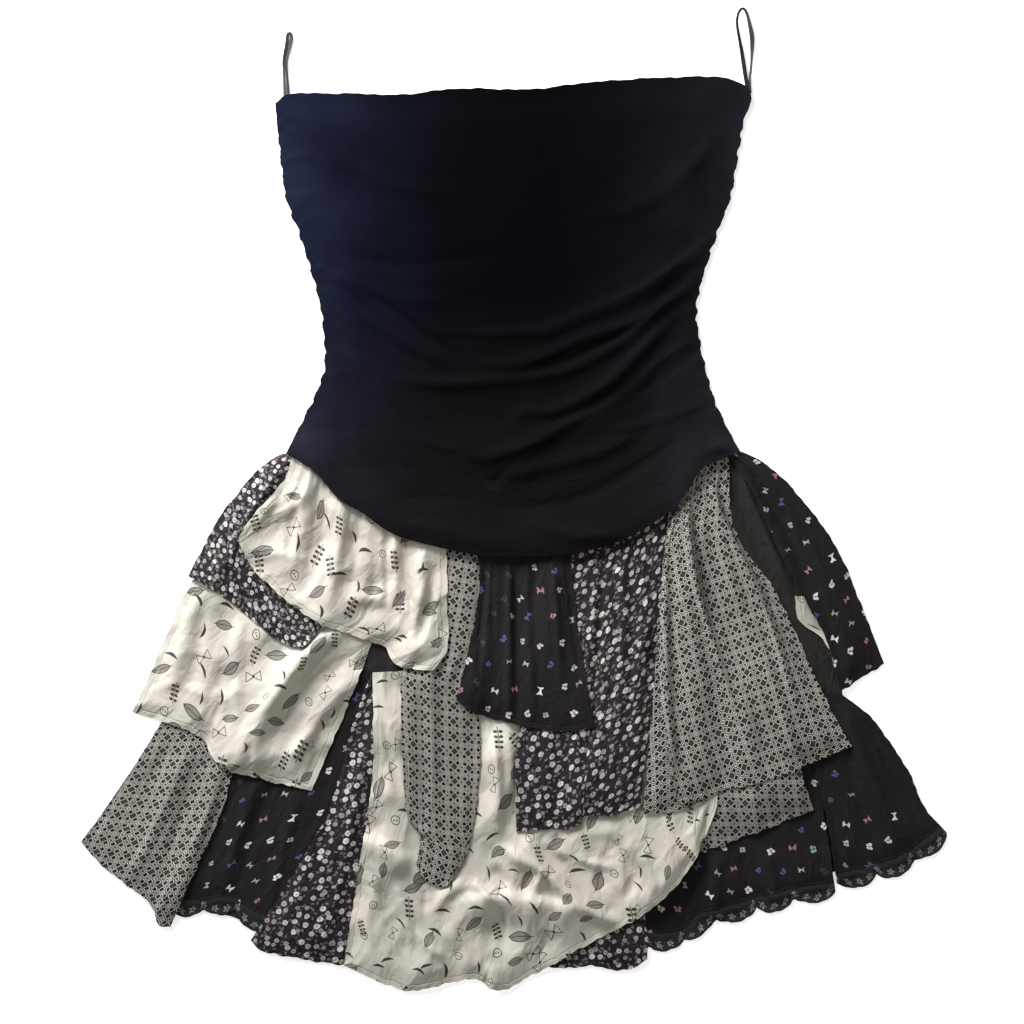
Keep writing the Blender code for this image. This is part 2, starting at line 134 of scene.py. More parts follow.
FLOOR_SIZE = 12  # metres
FLOOR_SINK = 0.4  # millimetres between the floor and the dress, which only touches it
FLOOR_GLOW = 0.6  # stands in for the even light of a studio floor, so that it stays white into the corners
WORLD_LIGHT = 0.17
bpy.ops.object.select_all(action="DESELECT")
bpy.ops.mesh.primitive_plane_add(size=FLOOR_SIZE, location=(0, 0, -FLOOR_SINK * MM))
floor = bpy.context.object
floor.name = "floor"
painted, tree = new_material("painted_floor")
grain = add(tree, "TexNoise", {"Vector": add(tree, "TexCoord", output="Object"), "Scale": 6.0, "Detail": 3.0})
floor.data.materials.append(finish_material(
    painted, Base_Color=paint(tree, "#fbfbfa", "#f8f8f6", grain), Roughness=0.9,
    Emission_Color=linear("#ffffff"), Emission_Strength=FLOOR_GLOW))

world = bpy.data.worlds.new("studio")
world.use_nodes = True
world.node_tree.nodes["Background"].inputs[0].default_value = linear("#f8f8fa")
world.node_tree.nodes["Background"].inputs[1].default_value = WORLD_LIGHT
bpy.context.scene.world = world
LAMPS = (  # name, place, size in metres, power in watts, colour
    ("window_left", (-0.62, 1.13, 0.66), 0.55, 38.0, "#fdfcff"),
    ("window_low", (-3.2, 1.3, 1.0), 1.2, 52.0, "#fdfcff"),
    ("window_right", (1.6, -0.4, 1.9), 1.6, 11.0, "#fff8f0"),
)
for name, place, size, power, colour in LAMPS:
    lamp = bpy.data.lights.new(name, "AREA")
    lamp.size, lamp.energy, lamp.color = size, power, linear(colour)[:3]
    lit = bpy.data.objects.new(name, lamp)
    lit.location = place
    lit.rotation_euler = (Vector((0, 0, 0)) - Vector(place)).to_track_quat("-Z", "Y").to_euler()
    bpy.context.scene.collection.objects.link(lit)
bpy.context.scene.view_settings.view_transform = "Standard"
print("lamps:", [lamp[0] for lamp in LAMPS])

# %% [markdown]
# ## Where each piece lies
# A maker would draw these as a pattern: every seam and edge is a short row of points, and a smooth curve runs through
# them. They are the same tables that the plain walls were made from, so each sheet lands on its wall.

# %% Seams and edges, in millimetres
def places(table):
    """The points of a table in which each is written as "x y", with commas between them."""
    return [tuple(map(float, place.split())) for place in table.split(",")]


NECK = places("-190 318, -178 325, -140 326, -90 325, -40 330, 10 329, 78 336, 150 339, 176 336, 189.5 329.5")
WAIST = places("""
    -181 37, -157 22, -140 2, -119 -11, -101 -24, -85 -31, -53 -39, -16 -45, 45 -43, 88 -32, 125 -10, 135 1, 144 15,
    152 26, 164 31, 182 39""")
BACK_WAIST = places("-179 37, -90 8, 0 -2, 90 8, 180 39")
YOKE_SEAM = places("-272 -160, -200 -150, -112 -138, 20 -136, 148 -146, 264 -155")
LEFT_SIDE = places("""
    -190 318, -189 304, -185 266, -181 240, -170 211, -155 160, -151 128, -151 104, -160 80, -172 56, -181 37""")
RIGHT_SIDE = places("""
    189.5 329.5, 191.5 320, 187 309, 184.5 300, 179 266, 174 240, 163 211, 148 160, 150 128, 155 104, 162 80,
    173 56, 182 39""")
BACK_LEFT = places("-220 -60, -276 -170")
BACK_RIGHT = places("222 -50, 262 -160, 306 -214")
BACK_HEM = places("""
    -342 -270, -290 -312, -205 -340, -120 -366, 0 -376, 60 -350, 109 -340, 184 -314, 259 -298, 340 -264""")
SLIP_SEAM = places("226 -77, 248 -77")
# The ribbons of the hanger loops: each place has the ribbon's width as it is seen from above.
LOOP_RIGHT = places("""
    187.5 322 3, 187.7 333 3.2, 186.2 343 3.4, 184 358 3.4, 182 369 3.2, 180.1 380 2.5, 180.3 387 2.1, 182 392 2,
    184.8 394 2, 187.6 390.6 2.2, 190.4 380 3.2, 192 370.5 4, 192 361 3.2, 191.6 352 2.1, 191 344 2, 190.2 337 2.2,
    190.4 326 2.6""")
LOOP_LEFT = places("""
    -182.3 322 2.7, -182.7 332 2.5, -183.1 343 2.1, -183.3 352 2.1, -181.6 361 2.4, -180.5 368 3, -180.1 372.6 3,
    -178.8 374.2 2.6, -177.3 372.6 3, -177.4 368 3, -179.1 361 2.4, -181.1 352 2.1, -180.9 343 2.1, -180.1 332 2.5,
    -179.5 322 2.7""")

# Skirt panels, the lowest first: the seam that each hangs from and where along it, how many small pleats its gathered
# top has, its two side edges and its hem.
Panel = namedtuple("Panel", "name cloth seam start end pleats left_edge right_edge hem")
PANELS = (
    Panel("yoke_front", "voile", WAIST, -176, 178, 30, "-206 -30", "220 -46, 246 -98, 262 -138",
          "-262 -168, -112 -150, 20 -147, 148 -157, 265 -163"),
    Panel("lower_butterfly_left", "butterfly", YOKE_SEAM, -225, -100, 8, "-252 -240", "-120 -250",
          "-280 -318, -252 -322, -225 -320, -202 -334, -160 -345"),
    Panel("lower_dots_left", "dotted", YOKE_SEAM, -113, -60, 6, "-128 -180, -146 -245, -176 -300", "-70 -260",
          "-210 -353, -199 -362, -168 -368, -135 -373, -80 -378"),
    Panel("lower_butterfly_right", "butterfly", YOKE_SEAM, 60, 228, 9, "75 -250", "246 -230",
          "88 -350, 134 -347, 150 -334, 184 -324, 222 -314, 258 -308"),
    Panel("lower_dots_right", "dotted", YOKE_SEAM, 5, 75, 5, "5 -260", "90 -250, 107 -340",
          "8 -368, 31 -375, 65 -374, 92 -377, 108 -368"),
    Panel("lower_black_right", "butterfly_edge", YOKE_SEAM, 218, 263, 6, "246 -230", "289 -176, 317 -217, 330 -246",
          "259 -301, 283 -296, 309 -288, 333 -272, 344 -262"),
    Panel("lower_lattice_left", "lattice", YOKE_SEAM, -271, -206, 6, "-311 -226", "-232 -246, -252 -292, -267 -326",
          "-346 -274, -326 -296, -292 -322, -284 -340, -274 -342"),
    Panel("lower_lattice_right", "lattice", YOKE_SEAM, 112, 213, 6, "112 -220", "229 -212",
          "114 -285, 154 -280, 198 -265, 241 -248"),
    Panel("lower_white_centre", "satin", YOKE_SEAM, -112, 150, 12, "-112 -220, -124 -300", "162 -195",
          "-135 -373, -85 -393, -34 -384, -10 -393, 25 -376, 65 -353, 107 -330, 141 -295, 161 -252, 164 -232"),
    Panel("long_lattice_centre", "lattice", WAIST, -58, -22, 5, "-80 -110, -89 -150, -85 -247, -74 -262, -75 -282",
          "-27 -140, -26 -213, -34 -275", "-77 -291, -71 -303, -60 -309, -50 -306, -42 -295"),
    Panel("middle_white_left", "satin", WAIST, -174, -96, 6, "-216 -2, -258 -67, -290 -138", "-106 -90, -126 -150",
          "-305 -170, -252 -188, -240 -206, -221 -218, -161 -233"),
    Panel("upper_dots_left", "dotted_small", WAIST, -181, -142, 7, "-187 36, -203 25, -220 6, -237 -17, -248 -38",
          "-144 -60", "-260 -61, -226 -81, -195 -107, -170 -118, -153 -102"),
    Panel("upper_white_left", "satin", WAIST, -176, -53, 20, "-183 15, -207 -12", "-52 -85, -52 -118",
          "-220 -32, -203 -60, -162 -94, -128 -108, -114 -113, -103 -117, -95 -130, -80 -135, -63 -136"),
    Panel("long_dots_right", "dotted", WAIST, 36, 128, 18, "12 -150, 3 -200", "124 -45, 114 -150",
          "3 -265, 50 -262, 58 -253, 80 -252, 102 -245"),
    Panel("long_lattice_pleat", "lattice", WAIST, 126, 146, 3, "118 -80, 112 -164", "140 -120",
          "104 -251, 131 -248, 156 -240"),
    Panel("long_lattice_right", "lattice", WAIST, 137, 173, 9, "122 -40, 117 -130, 123 -195",
          "178 -24, 212 -76, 250 -158", "130 -238, 138 -242, 166 -233, 215 -220, 271 -197"),
    Panel("upper_butterfly_centre", "butterfly", WAIST, -27, 45, 14, "-28 -85", "54 -112",
          "-45 -160, -28 -171, 4 -180, 40 -185, 66 -181"),
    Panel("white_slip_right", "satin", SLIP_SEAM, 226, 248, 2, "230 -97, 249 -112", "262 -108", "260 -139, 268 -140"),
    Panel("upper_butterfly_right", "butterfly", WAIST, 170, 182, 4, "191 8, 217 -48, 240 -90, 252 -114",
          "188 37, 203 29, 222 12, 242 -12, 258 -35, 270 -60", "263 -153, 278 -144, 298 -131"),
)
LACED = {  # panels with a lace edging: the edging, and where along the hem it starts and ends
    "lower_butterfly_left": ("lace_lower_left", 0.0, 0.75),
    "lower_butterfly_right": ("lace_lower_right", 1 / 12, 1.0),
    "lower_black_right": ("lace_side_right", 0.0, 1.0),
}
print("skirt panels:", len(PANELS))

# %% [markdown]
# ## Creases
# The main creases of a worn dress don't repeat, so they are listed one by one, each as a soft ridge or trough along a
# curve. A line of the table is one crease: its height and the width of each of its two sides, then the places along
# it. Simulated cloth would crease too, but not in these places.

# %% Creases, in millimetres
Crease = namedtuple("Crease", "rise near far line")
CREASES = {
    "bodice_front": """
    3.6 12.5 5.5: 166 214, 106 171, 56 149, 24 136, -19 133, -54 134
    -2 3.9 4.7: 26 130, -19 127, -64 130
    -2.6 4.7 7: -124 174, -84 143, -59 126, -34 111
    2.3 7 9.4: -138 160, -96 133, -66 116, -40 102
    4.3 7 7.8: -34 111, -9 107, 21 114, 56 129, 101 143, 131 163, 156 186
    -3 4.7 4.7: -29 102, 6 101, 44 110, 81 129, 119 154
    4 6.2 7.8: -107 109, -94 98, -64 94, -34 94, 6 98, 39 103, 68 116, 101 136, 126 156
    4.3 7 7: -9 56, 11 71, 31 71, 56 81, 81 98, 106 123, 139 156
    -3.3 5.5 4.7: 21 58, 44 66, 68 78, 93 96, 119 118
    4 9.4 6.2: -36 43, -24 34, -9 36, 19 46, 39 58, 68 74
    2.3 5.5 3.9: -79 51, -59 43, -39 40
    -3.3 4.7 4.7: -34 34, -19 14, -4 23
    -2 7 7: -144 111, -121 74, -99 41, -89 26, -69 29
    1.6 7.8 6.2: -134 124, -112 86, -87 51, -66 38
    -2.1 4.7 4.7: -94 3, -54 1, -39 6
    3 9.4 7.8: -14 16, 26 26, 68 38, 106 54
    -2.6 7 5.5: -19 -6, 31 -4, 76 11, 116 36, 139 56
    3.3 7 7: 6 -14, 31 -24, 61 -29, 93 -26
    2 6.2 6.2: 156 41, 166 43, 176 41
    2.1 5.5 5.5: 150 136, 128 118, 102 102, 70 86
    -1.5 4.7 4.7: 154 124, 126 102, 94 82
    1.6 6.2 6.2: 160 80, 134 70, 102 60, 70 54
    1.5 7.8 7.8: -106 -16, -66 -22, -26 -32, 6 -36
    1.3 9.4 9.4: -170 304, -122 264, -74 248, -26 243
    1.5 10.9 10.9: 170 304, 142 264, 102 236, 54 222
    -1.3 9.4 9.4: -156 200, -106 190, -58 190, -10 196
    1.5 9.4 9.4: -156 186, -114 168, -74 160, -34 160""",
    "upper_white_left": """
    -5.8 9 8: -152 19, -153 -4, -157 -36, -165 -72
    4.8 8 9: -139 11, -136 -16, -140 -48, -146 -84
    -3.7 6 6: -168 24, -172 0, -178 -32, -178 -56
    -4.4 4 4: -101 -18, -101 -48, -100 -72, -103 -92
    -5.4 3 4: -88 -24, -86 -55, -81 -80, -79 -104
    3.7 6 5: -95 -20, -94 -48, -92 -80
    -4.8 6 6: -63 -44, -64 -72, -71 -96, -76 -116
    5.1 8 6: -74 -38, -73 -72, -82 -112
    3.4 9 14: -117 -8, -116 -36, -119 -72, -125 -92
    2.7 4 6: -206 -48, -190 -42, -170 -45, -156 -53
    -2.7 4 5: -132 -24, -125 -42, -128 -64
    2.5 4 5: -66 -56, -60 -80, -58 -104
    3.1 6 6: -183 30, -192 0, -210 -28
    3.1 5 12: -200 -60, -178 -74, -154 -92, -134 -100
    2.7 6 8: -94 -94, -82 -112, -74 -124
    3.1 5 9: -194 -16, -170 0, -159 16
    2.9 5 8: -134 -80, -112 -78, -96 -85""",
    "middle_white_left": """
    7.4 10 9: -125 -98, -160 -120, -192 -159, -205 -181
    -5.4 8 9: -122 -112, -142 -133, -165 -154, -180 -170, -191 -186, -200 -212
    3.5 8 12: -116 -128, -134 -152, -156 -178, -170 -200, -178 -226
    -2.9 8 9: -232 -128, -235 -154, -241 -177, -246 -194
    -3.8 4 5: -210 -194, -210 -216
    3.2 10 12: -253 -72, -264 -112, -274 -152, -282 -170
    -2.2 6 6: -144 -164, -156 -192, -160 -228
    2.9 8 8: -216 -88, -221 -120, -220 -160, -226 -192
    -2.6 7 8: -245 -80, -252 -120, -260 -160
    2.6 4 6: -290 -152, -272 -147, -253 -152, -239 -162
    -2.6 4 5: -200 -112, -189 -123, -183 -138
    2.4 4 5: -156 -182, -170 -194, -181 -210""",
    "lower_white_centre": """
    8.3 7 32: -50 -326, -37 -322, -24 -319, 1 -318, 22 -321, 43 -326, 62 -334
    6.9 7 9: -10 -278, 9 -289, 22 -298, 17 -312, 15 -323
    -5.5 8 8: -16 -294, -8 -304, -4 -312
    5.5 6 6: -34 -306, -21 -314, -12 -318
    6.9 6 22: -124 -267, -109 -274, -94 -282, -79 -294
    -6 5 6: -74 -301, -71 -314, -69 -330
    4.1 6 8: -61 -332, -58 -320, -48 -312, -36 -307
    -4.1 4 5: -107 -149, -100 -192, -88 -243
    8.7 7 8: 5 -268, 27 -297, 46 -317, 67 -331, 90 -340
    -5.5 9 12: 38 -280, 58 -298, 78 -316
    6 10 34: 153 -270, 144 -294, 124 -317, 102 -338
    -5.1 5 6: 3 -173, 4 -216, 1 -261
    6.9 7 9: -16 -184, -12 -224, -12 -272
    5.1 7 9: -19 -370, -15 -384, -8 -394
    3.4 4 5: -112 -312, -101 -340, -88 -372
    3.4 4 5: -95 -304, -85 -332, -79 -360
    -3.2 8 8: -106 -304, -98 -340, -90 -374
    3.2 6 7: 102 -280, 110 -298, 112 -316
    3.7 8 9: -53 -340, -40 -360, -34 -380
    4.6 4 7: 22 -268, 38 -281, 62 -290, 86 -294
    -5.1 4 8: 70 -269, 88 -282, 97 -304, 88 -324
    4.1 4 6: -77 -344, -66 -358, -52 -366
    -4.6 5 6: -10 -324, -7 -344, -10 -364""",
    "long_lattice_centre": """
    -4 5 3: -74 -139, -72 -204, -71 -250, -75 -280
    3.8 4 8: -66 -80, -65 -144, -64 -208, -68 -288
    2.8 4 3: -57 -154, -48 -134, -39 -112
    -2.2 3 3: -51 -160, -43 -141, -34 -118
    2.2 4 4: -45 -48, -48 -80, -53 -112
    -2 4 4: -40 -176, -46 -232, -52 -280""",
    "upper_butterfly_centre": """
    -4.8 3 4: 2 -45, 3 -96, 4 -188
    3.8 5 3: -3 -45, -3 -96, -4 -188
    -3.5 3 3: 17 -43, 18 -58, 20 -80
    -3.5 3 4: -20 -45, -23 -80, -28 -144
    -3.2 3 3: -15 -44, -16 -80, -16 -112
    -3.8 3 4: 43 -42, 48 -80, 54 -144
    3.2 5 5: 32 -43, 35 -88, 40 -160
    2.9 5 4: 11 -45, 12 -96, 17 -180""",
    "long_lattice_right": """
    6.4 5 5: 153 27, 166 -9, 186 -52, 210 -112, 230 -176
    6.4 5 5: 139 0, 142 -38, 149 -75, 160 -112, 183 -192
    -5.2 4 5: 145 0, 148 -36, 155 -72, 166 -112
    -4.8 5 5: 128 -16, 128 -80, 131 -160, 137 -232
    4.8 6 6: 121 -48, 121 -112, 124 -176, 131 -240
    -4.4 5 6: 160 20, 178 -20, 204 -72, 230 -136
    4.8 5 6: 168 18, 196 -36, 235 -112, 260 -172
    -4 7 9: 168 -80, 180 -124, 196 -176, 206 -224
    4 8 10: 186 -80, 201 -128, 218 -176, 228 -216""",
    "long_dots_right": """
    2.8 5 4: 67 -42, 64 -96, 57 -160, 46 -240
    -2.5 4 4: 72 -40, 70 -96, 65 -160, 57 -232
    2.5 6 5: 88 -38, 88 -96, 83 -160, 78 -240
    -2.5 4 5: 96 -36, 97 -96, 94 -160, 92 -232
    -2 4 4: 108 -24, 112 -80, 110 -144, 106 -232
    1.8 6 6: 32 -176, 28 -216, 27 -256""",
    "upper_dots_left": """
    2.5 6 6: -186 26, -208 -8, -228 -48, -239 -68
    -2.2 5 5: -194 20, -218 -16, -236 -54
    2.2 6 6: -200 -32, -200 -64, -186 -96""",
    "upper_butterfly_right": """
    3.2 5 5: 180 30, 206 -16, 230 -72, 252 -120, 262 -152
    -3 4 5: 185 32, 214 -12, 242 -72, 270 -136
    2.5 6 5: 192 34, 226 -16, 258 -72, 284 -124
    -2.2 4 4: 198 26, 234 -24, 266 -80
    2 5 5: 176 24, 190 -16, 208 -64, 226 -112""",
    "yoke_front": """
    5.7 5 6: 180 30, 192 0, 208 -38, 226 -80
    -5.7 4 5: 185 27, 200 -8, 217 -48
    5.2 5 5: 192 24, 206 -8, 222 -48
    -4.7 5 5: 174 24, 184 -8, 201 -48, 222 -96""",
    "lower_lattice_left": """
    3 9 8: -258 -192, -278 -240, -298 -288, -310 -308
    -2.5 7 7: -246 -196, -264 -248, -278 -296, -282 -324
    2.8 7 7: -232 -208, -246 -256, -262 -304, -272 -336
    -2 7 7: -272 -192, -298 -236, -320 -272""",
    "lower_butterfly_left": """
    2.5 7 7: -200 -216, -218 -264, -232 -312
    -2.2 6 6: -190 -220, -207 -268, -221 -316
    2.2 7 6: -170 -224, -182 -272, -194 -324
    -2 5 5: -218 -220, -234 -264, -250 -304""",
    "lower_dots_left": """
    2.8 8 7: -134 -160, -148 -224, -164 -288, -182 -348
    -2.2 6 6: -146 -176, -162 -240, -180 -304, -192 -336
    2.2 7 7: -120 -192, -128 -256, -142 -320, -154 -364""",
    "lower_butterfly_right": """
    3 8 8: 200 -280, 210 -312, 222 -332
    -2.5 7 7: 182 -280, 192 -312, 200 -334
    2.8 8 8: 166 -280, 162 -312, 160 -344
    -2.2 7 7: 142 -304, 137 -332, 134 -356
    2.2 8 8: 242 -240, 254 -280, 260 -316""",
    "lower_black_right": """
    3 8 8: 264 -160, 284 -216, 314 -276
    -2.8 7 7: 274 -152, 302 -208, 330 -260
    2.5 7 7: 284 -160, 314 -212, 338 -248
    -2.2 7 7: 260 -176, 276 -232, 294 -286""",
    "lower_lattice_right": """
    3.8 20 34: 150 -238, 182 -232, 222 -220, 254 -210
    2.5 8 8: 186 -232, 192 -252, 198 -270
    -2.2 7 7: 206 -232, 212 -248, 219 -264
    2.2 7 7: 226 -224, 232 -240, 236 -254""",
    "lower_dots_right": """
    2.5 8 8: 70 -348, 74 -360, 75 -372
    -2 6 6: 88 -340, 94 -356, 97 -372""",
}
for piece, table in CREASES.items():
    rows = [row.split(":") for row in table.strip().splitlines()]
    CREASES[piece] = [Crease(*map(float, sizes.split()), places(line)) for sizes, line in rows]
print("creases placed by hand:", sum(map(len, CREASES.values())))

# %% [markdown]
# ## Curves and grids
# A sheet is a grid of points between four edges. Blender's own curve objects could blend the edges too, but with the
# grid worked out here each point knows how far it is along and across the cloth, which the prints need later.

# %% Curves and grids
def steps_of(points):
    """The length of each step along a row of points."""
    return np.linalg.norm(np.diff(points, axis=0), axis=1)


def distances(points):
    """How far along a row of points each of them lies."""
    return np.concatenate([[0], np.cumsum(steps_of(points))])


def read_at(wanted, known, points):
    """The places at the wanted distances along a row of points whose own distances are known."""
    return np.stack([np.interp(wanted, known, points[:, k]) for k in range(2)], axis=1)


def spaced(points, count):
    """count + 1 places evenly spaced along a smooth curve through the points."""
    knots = np.array(points, float)
    if len(knots) == 2:
        return knots[0] + np.linspace(0, 1, count + 1)[:, None] * (knots[1] - knots[0])
    knots = np.vstack([2 * knots[0] - knots[1], knots, 2 * knots[-1] - knots[-2]])
    share = np.linspace(0, 1, 24, endpoint=False)[:, None]
    fine = [0.5 * (2 * b + (c - a) * share + (2 * a - 5 * b + 4 * c - d) * share**2
                   + (3 * b - a - 3 * c + d) * share**3)
            for a, b, c, d in zip(knots, knots[1:], knots[2:], knots[3:])]
    fine = np.vstack(fine + [knots[-2:-1]])
    along = distances(fine)
    return read_at(np.linspace(0, along[-1], count + 1), along, fine)


def length_of(points):
    """The length of the smooth curve through the points."""
    return steps_of(spaced(points, 200)).sum()


def stretch(curve, start, end):
    """The part of a left-to-right curve between two places across it."""
    fine = spaced(curve, 400)
    x = np.linspace(start, end, 13)
    return np.stack([x, np.interp(x, fine[:, 0], fine[:, 1])], axis=1)


def edge(start, via, end, rows):
    """A side edge from its seam to its hem, read at the share of its length of each row."""
    fine = spaced((tuple(start), *via, tuple(end)), 200)
    return read_at(rows, np.linspace(0, 1, len(fine)), fine)


def patch(top, hem, left, right, rows):
    """A grid of places that fills the four edges."""
    u = np.linspace(0, 1, len(top))[None, :, None]
    v = np.array(rows, float)[:, None, None]
    corners = (1 - v) * ((1 - u) * top[0] + u * top[-1]) + v * ((1 - u) * hem[0] + u * hem[-1])
    return ((1 - u) * left[:, None, :] + u * right[:, None, :]
            + (1 - v) * top[None, :, :] + v * hem[None, :, :] - corners)


def waver(along, pitch, seed):
    """A smooth uneven wave from about -1 to 1, at distances along an edge."""
    draw = np.random.RandomState(seed)
    total = np.zeros_like(along, dtype=float)
    for share in (1.0, 0.62, 1.71, 0.37):
        total += np.sin(2 * math.pi * along / (pitch * share * draw.uniform(0.9, 1.1)) + draw.uniform(0, 6.28))
    return total / 2.4


print("waist seam:", round(length_of(WAIST)), "mm, neckline:", round(length_of(NECK)), "mm")

# %% [markdown]
# ## How high each sheet lies
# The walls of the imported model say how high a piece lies. A ray from above reads each wall at every point of the fine
# grid, and the flat facets are then softened away. Real cloth also sinks at its free edges until it lies on what is
# beneath, so a raster of all that has been laid down keeps the height of the pile, a cell for each millimetre.

# %% Heights and the pile
HALF_SPAN = 440.0
CLEAR = 0.25  # millimetres kept free between two layers
ABOVE_ALL = 0.1  # metres: where the rays start
pile = np.zeros((int(2 * HALF_SPAN) + 1,) * 2)
Gaps = namedtuple("Gaps", "left right seam hem")


def cells(spots):
    """The row and the column of the raster's cell at each place."""
    index = np.rint(spots + HALF_SPAN).astype(int)
    return index[..., 1], index[..., 0]


def beneath(grid):
    """The highest point of the pile within two millimetres of each place."""
    near = pile
    for _ in range(2):
        for axis in (0, 1):
            near = np.maximum(near, np.maximum(np.roll(near, 1, axis), np.roll(near, -1, axis)))
    return near[cells(grid)]


def lay_down(grid, top):
    """Adds a sheet's upper side to the pile."""
    for i in np.linspace(0, 1, 5):
        for j in np.linspace(0, 1, 5):
            spot = [(1 - i) * ((1 - j) * part[:-1, :-1] + j * part[:-1, 1:])
                    + i * ((1 - j) * part[1:, :-1] + j * part[1:, 1:]) for part in (grid, top)]
            np.maximum.at(pile, cells(spot[0]), spot[1])


def soften(heights, reach):
    """Evens a grid of heights out over reach cells each way, twice."""
    for _ in range(2):
        for axis, cells_out in enumerate(reach):
            ends = [(0, 0), (0, 0)]
            ends[axis] = (cells_out, cells_out)
            total = np.cumsum(np.pad(heights, ends, mode="edge"), axis=axis)
            total = np.insert(total, 0, 0, axis=axis)
            wide = 2 * cells_out + 1
            heights = (np.take(total, range(wide, total.shape[axis]), axis)
                       - np.take(total, range(total.shape[axis] - wide), axis)) / wide
    return heights


def wall_top(name, grid):
    """The height of a packed wall's upper side at each place, in millimetres."""
    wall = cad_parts[name].data
    tree = BVHTree.FromPolygons([v.co for v in wall.vertices], [p.vertices for p in wall.polygons])
    found = np.full(grid.shape[:2], np.nan)
    for spot in np.ndindex(found.shape):
        hit = tree.ray_cast(Vector((*(grid[spot] + SHIFT) * MM, ABOVE_ALL)), Vector((0, 0, -1)))[0]
        if hit is not None:
            found[spot] = hit.z / MM
    while np.isnan(found).any():  # just outside the wall's straight edges: take the neighbours' height
        framed = np.pad(found, 1, constant_values=np.nan)
        around = np.stack([framed[:-2, 1:-1], framed[2:, 1:-1], framed[1:-1, :-2], framed[1:-1, 2:]])
        known = ~np.isnan(around)
        mean = np.where(known, around, 0).sum(0) / np.maximum(known.sum(0), 1)
        found = np.where(np.isnan(found) & known.any(0), mean, found)
    return found


def edge_gaps(grid):
    """Each point's distance from the left and the right edge, from the seam and from the hem."""
    across = np.linalg.norm(np.diff(grid, axis=1), axis=2)
    down = np.linalg.norm(np.diff(grid, axis=0), axis=2)
    left = np.cumsum(np.pad(across, ((0, 0), (1, 0))), axis=1)
    seam = np.cumsum(np.pad(down, ((1, 0), (0, 0))), axis=0)
    return Gaps(left, left[:, -1:] - left, seam, seam[-1:] - seam)


def smooth_step(values):
    """Runs softly from 0 to 1."""
    values = np.clip(values, 0, 1)
    return values * values * (3 - 2 * values)


def hump(away):
    """The cross section of a fold: 1 at its middle, and softly down to 0 where away is 1."""
    return np.cos(np.clip(away, 0, 1) * math.pi / 2) ** 2


print("pile raster:", pile.shape)

# %% [markdown]
# ## Folds, pleats and slack
# Three things move the cloth up and down on top of its resting height: the creases of the table, the small pleats
# that a gathered seam leaves, and a little slack all over. Each is a smooth function of the place, so a sheet never
# crosses itself.

# %% Folds, pleats and slack
def creased(name, grid):
    """The sum of a piece's creases at each place. A crease fades towards its two ends."""
    total = np.zeros(grid.shape[:2])
    for crease in CREASES.get(name, ()):
        count = max(12, int(length_of(crease.line) / 4))
        line = spaced(crease.line, count)
        widest = max(crease.near, crease.far)
        low, high = line.min(0) - (widest + 4), line.max(0) + (widest + 4)
        close = ((grid > low) & (grid < high)).all(axis=2)
        offsets = grid[close][:, None, :] - line
        nearest = np.linalg.norm(offsets, axis=2).argmin(axis=1)
        ahead = np.gradient(line, axis=0)
        ahead /= np.linalg.norm(ahead, axis=1)[:, None]
        offset = offsets[np.arange(len(offsets)), nearest]
        side = ahead[nearest, 0] * offset[:, 1] - ahead[nearest, 1] * offset[:, 0]
        away = np.abs(side) / np.where(side > 0, crease.near, crease.far)
        past = np.abs((offset * ahead[nearest]).sum(1)) / widest
        share = nearest / count
        fade = smooth_step(np.minimum(share, 1 - share) * 4 + 0.08)
        total[close] += crease.rise * (hump(away) * np.clip(1 - past, 0, 1)) * fade
    return total


def seed_of(name):
    """A fixed seed for each piece, so that every run draws the same random numbers."""
    return sum(map(ord, name))


def pleated(panel, gaps):
    """Small pleats that start at the seam and die away, uneven in place, width and length."""
    draw = np.random.RandomState(seed_of(panel.name))
    wide = gaps.left[:, -1:]
    share = gaps.seam / np.maximum(gaps.seam[-1:], 1)
    total = np.zeros_like(share)
    for k in range(panel.pleats):
        at = (k + draw.uniform(0.15, 0.85)) / panel.pleats
        lean = draw.normal(0, 0.035)
        half = draw.uniform(1.8, 3.2) * (1 + 1.6 * share)
        long = draw.uniform(0.16, 0.6)
        high = draw.uniform(0.8, 2.2)
        away = (gaps.left - (at + lean * share) * wide) / half
        steep = np.where(away > 0, draw.uniform(1.0, 1.9), draw.uniform(0.9, 1.2))
        total = np.maximum(total, high * hump(np.abs(away) * steep) * np.clip(1 - share / long, 0, 1) ** 1.3)
    return total


def slack(gaps, rise, pitch, seed):
    """A low uneven swell, longer down the cloth than across it."""
    draw = np.random.RandomState(seed)
    total = np.zeros_like(gaps.left)
    for _ in range(7):
        angle = draw.normal(0, 0.55)
        length = pitch * draw.uniform(0.5, 1.6)
        along = gaps.left * math.cos(angle) + gaps.seam * math.sin(angle) * 0.6
        bend = 0.9 * np.sin(gaps.seam / (pitch * draw.uniform(1.2, 2.4)) + draw.uniform(0, 6.28))
        total += np.sin(2 * math.pi * along / length + bend + draw.uniform(0, 6.28)) * length / pitch
    return rise * total / 3.2


print("tallest crease:", max(crease.rise for rows in CREASES.values() for crease in rows), "mm")

# %% [markdown]
# ## Cloth finishes
# Each cloth is a node material that reads the sheet's own map, where one unit is one millimetre of cloth, so a print
# bends with its folds. A second map holds each point's distance from the side edges and from the hem, for the narrow
# turned hems and their stitches. Painted images could hold the prints, but arithmetic on the map stays sharp at any
# distance. A figure is a row of steps, and each is worked out from left to right like on a pocket calculator:
# "near = x - 2 ABSOLUTE < 0.3" is 1 where x is within 0.3 of 2. The sign *+ multiplies by one term and adds another.

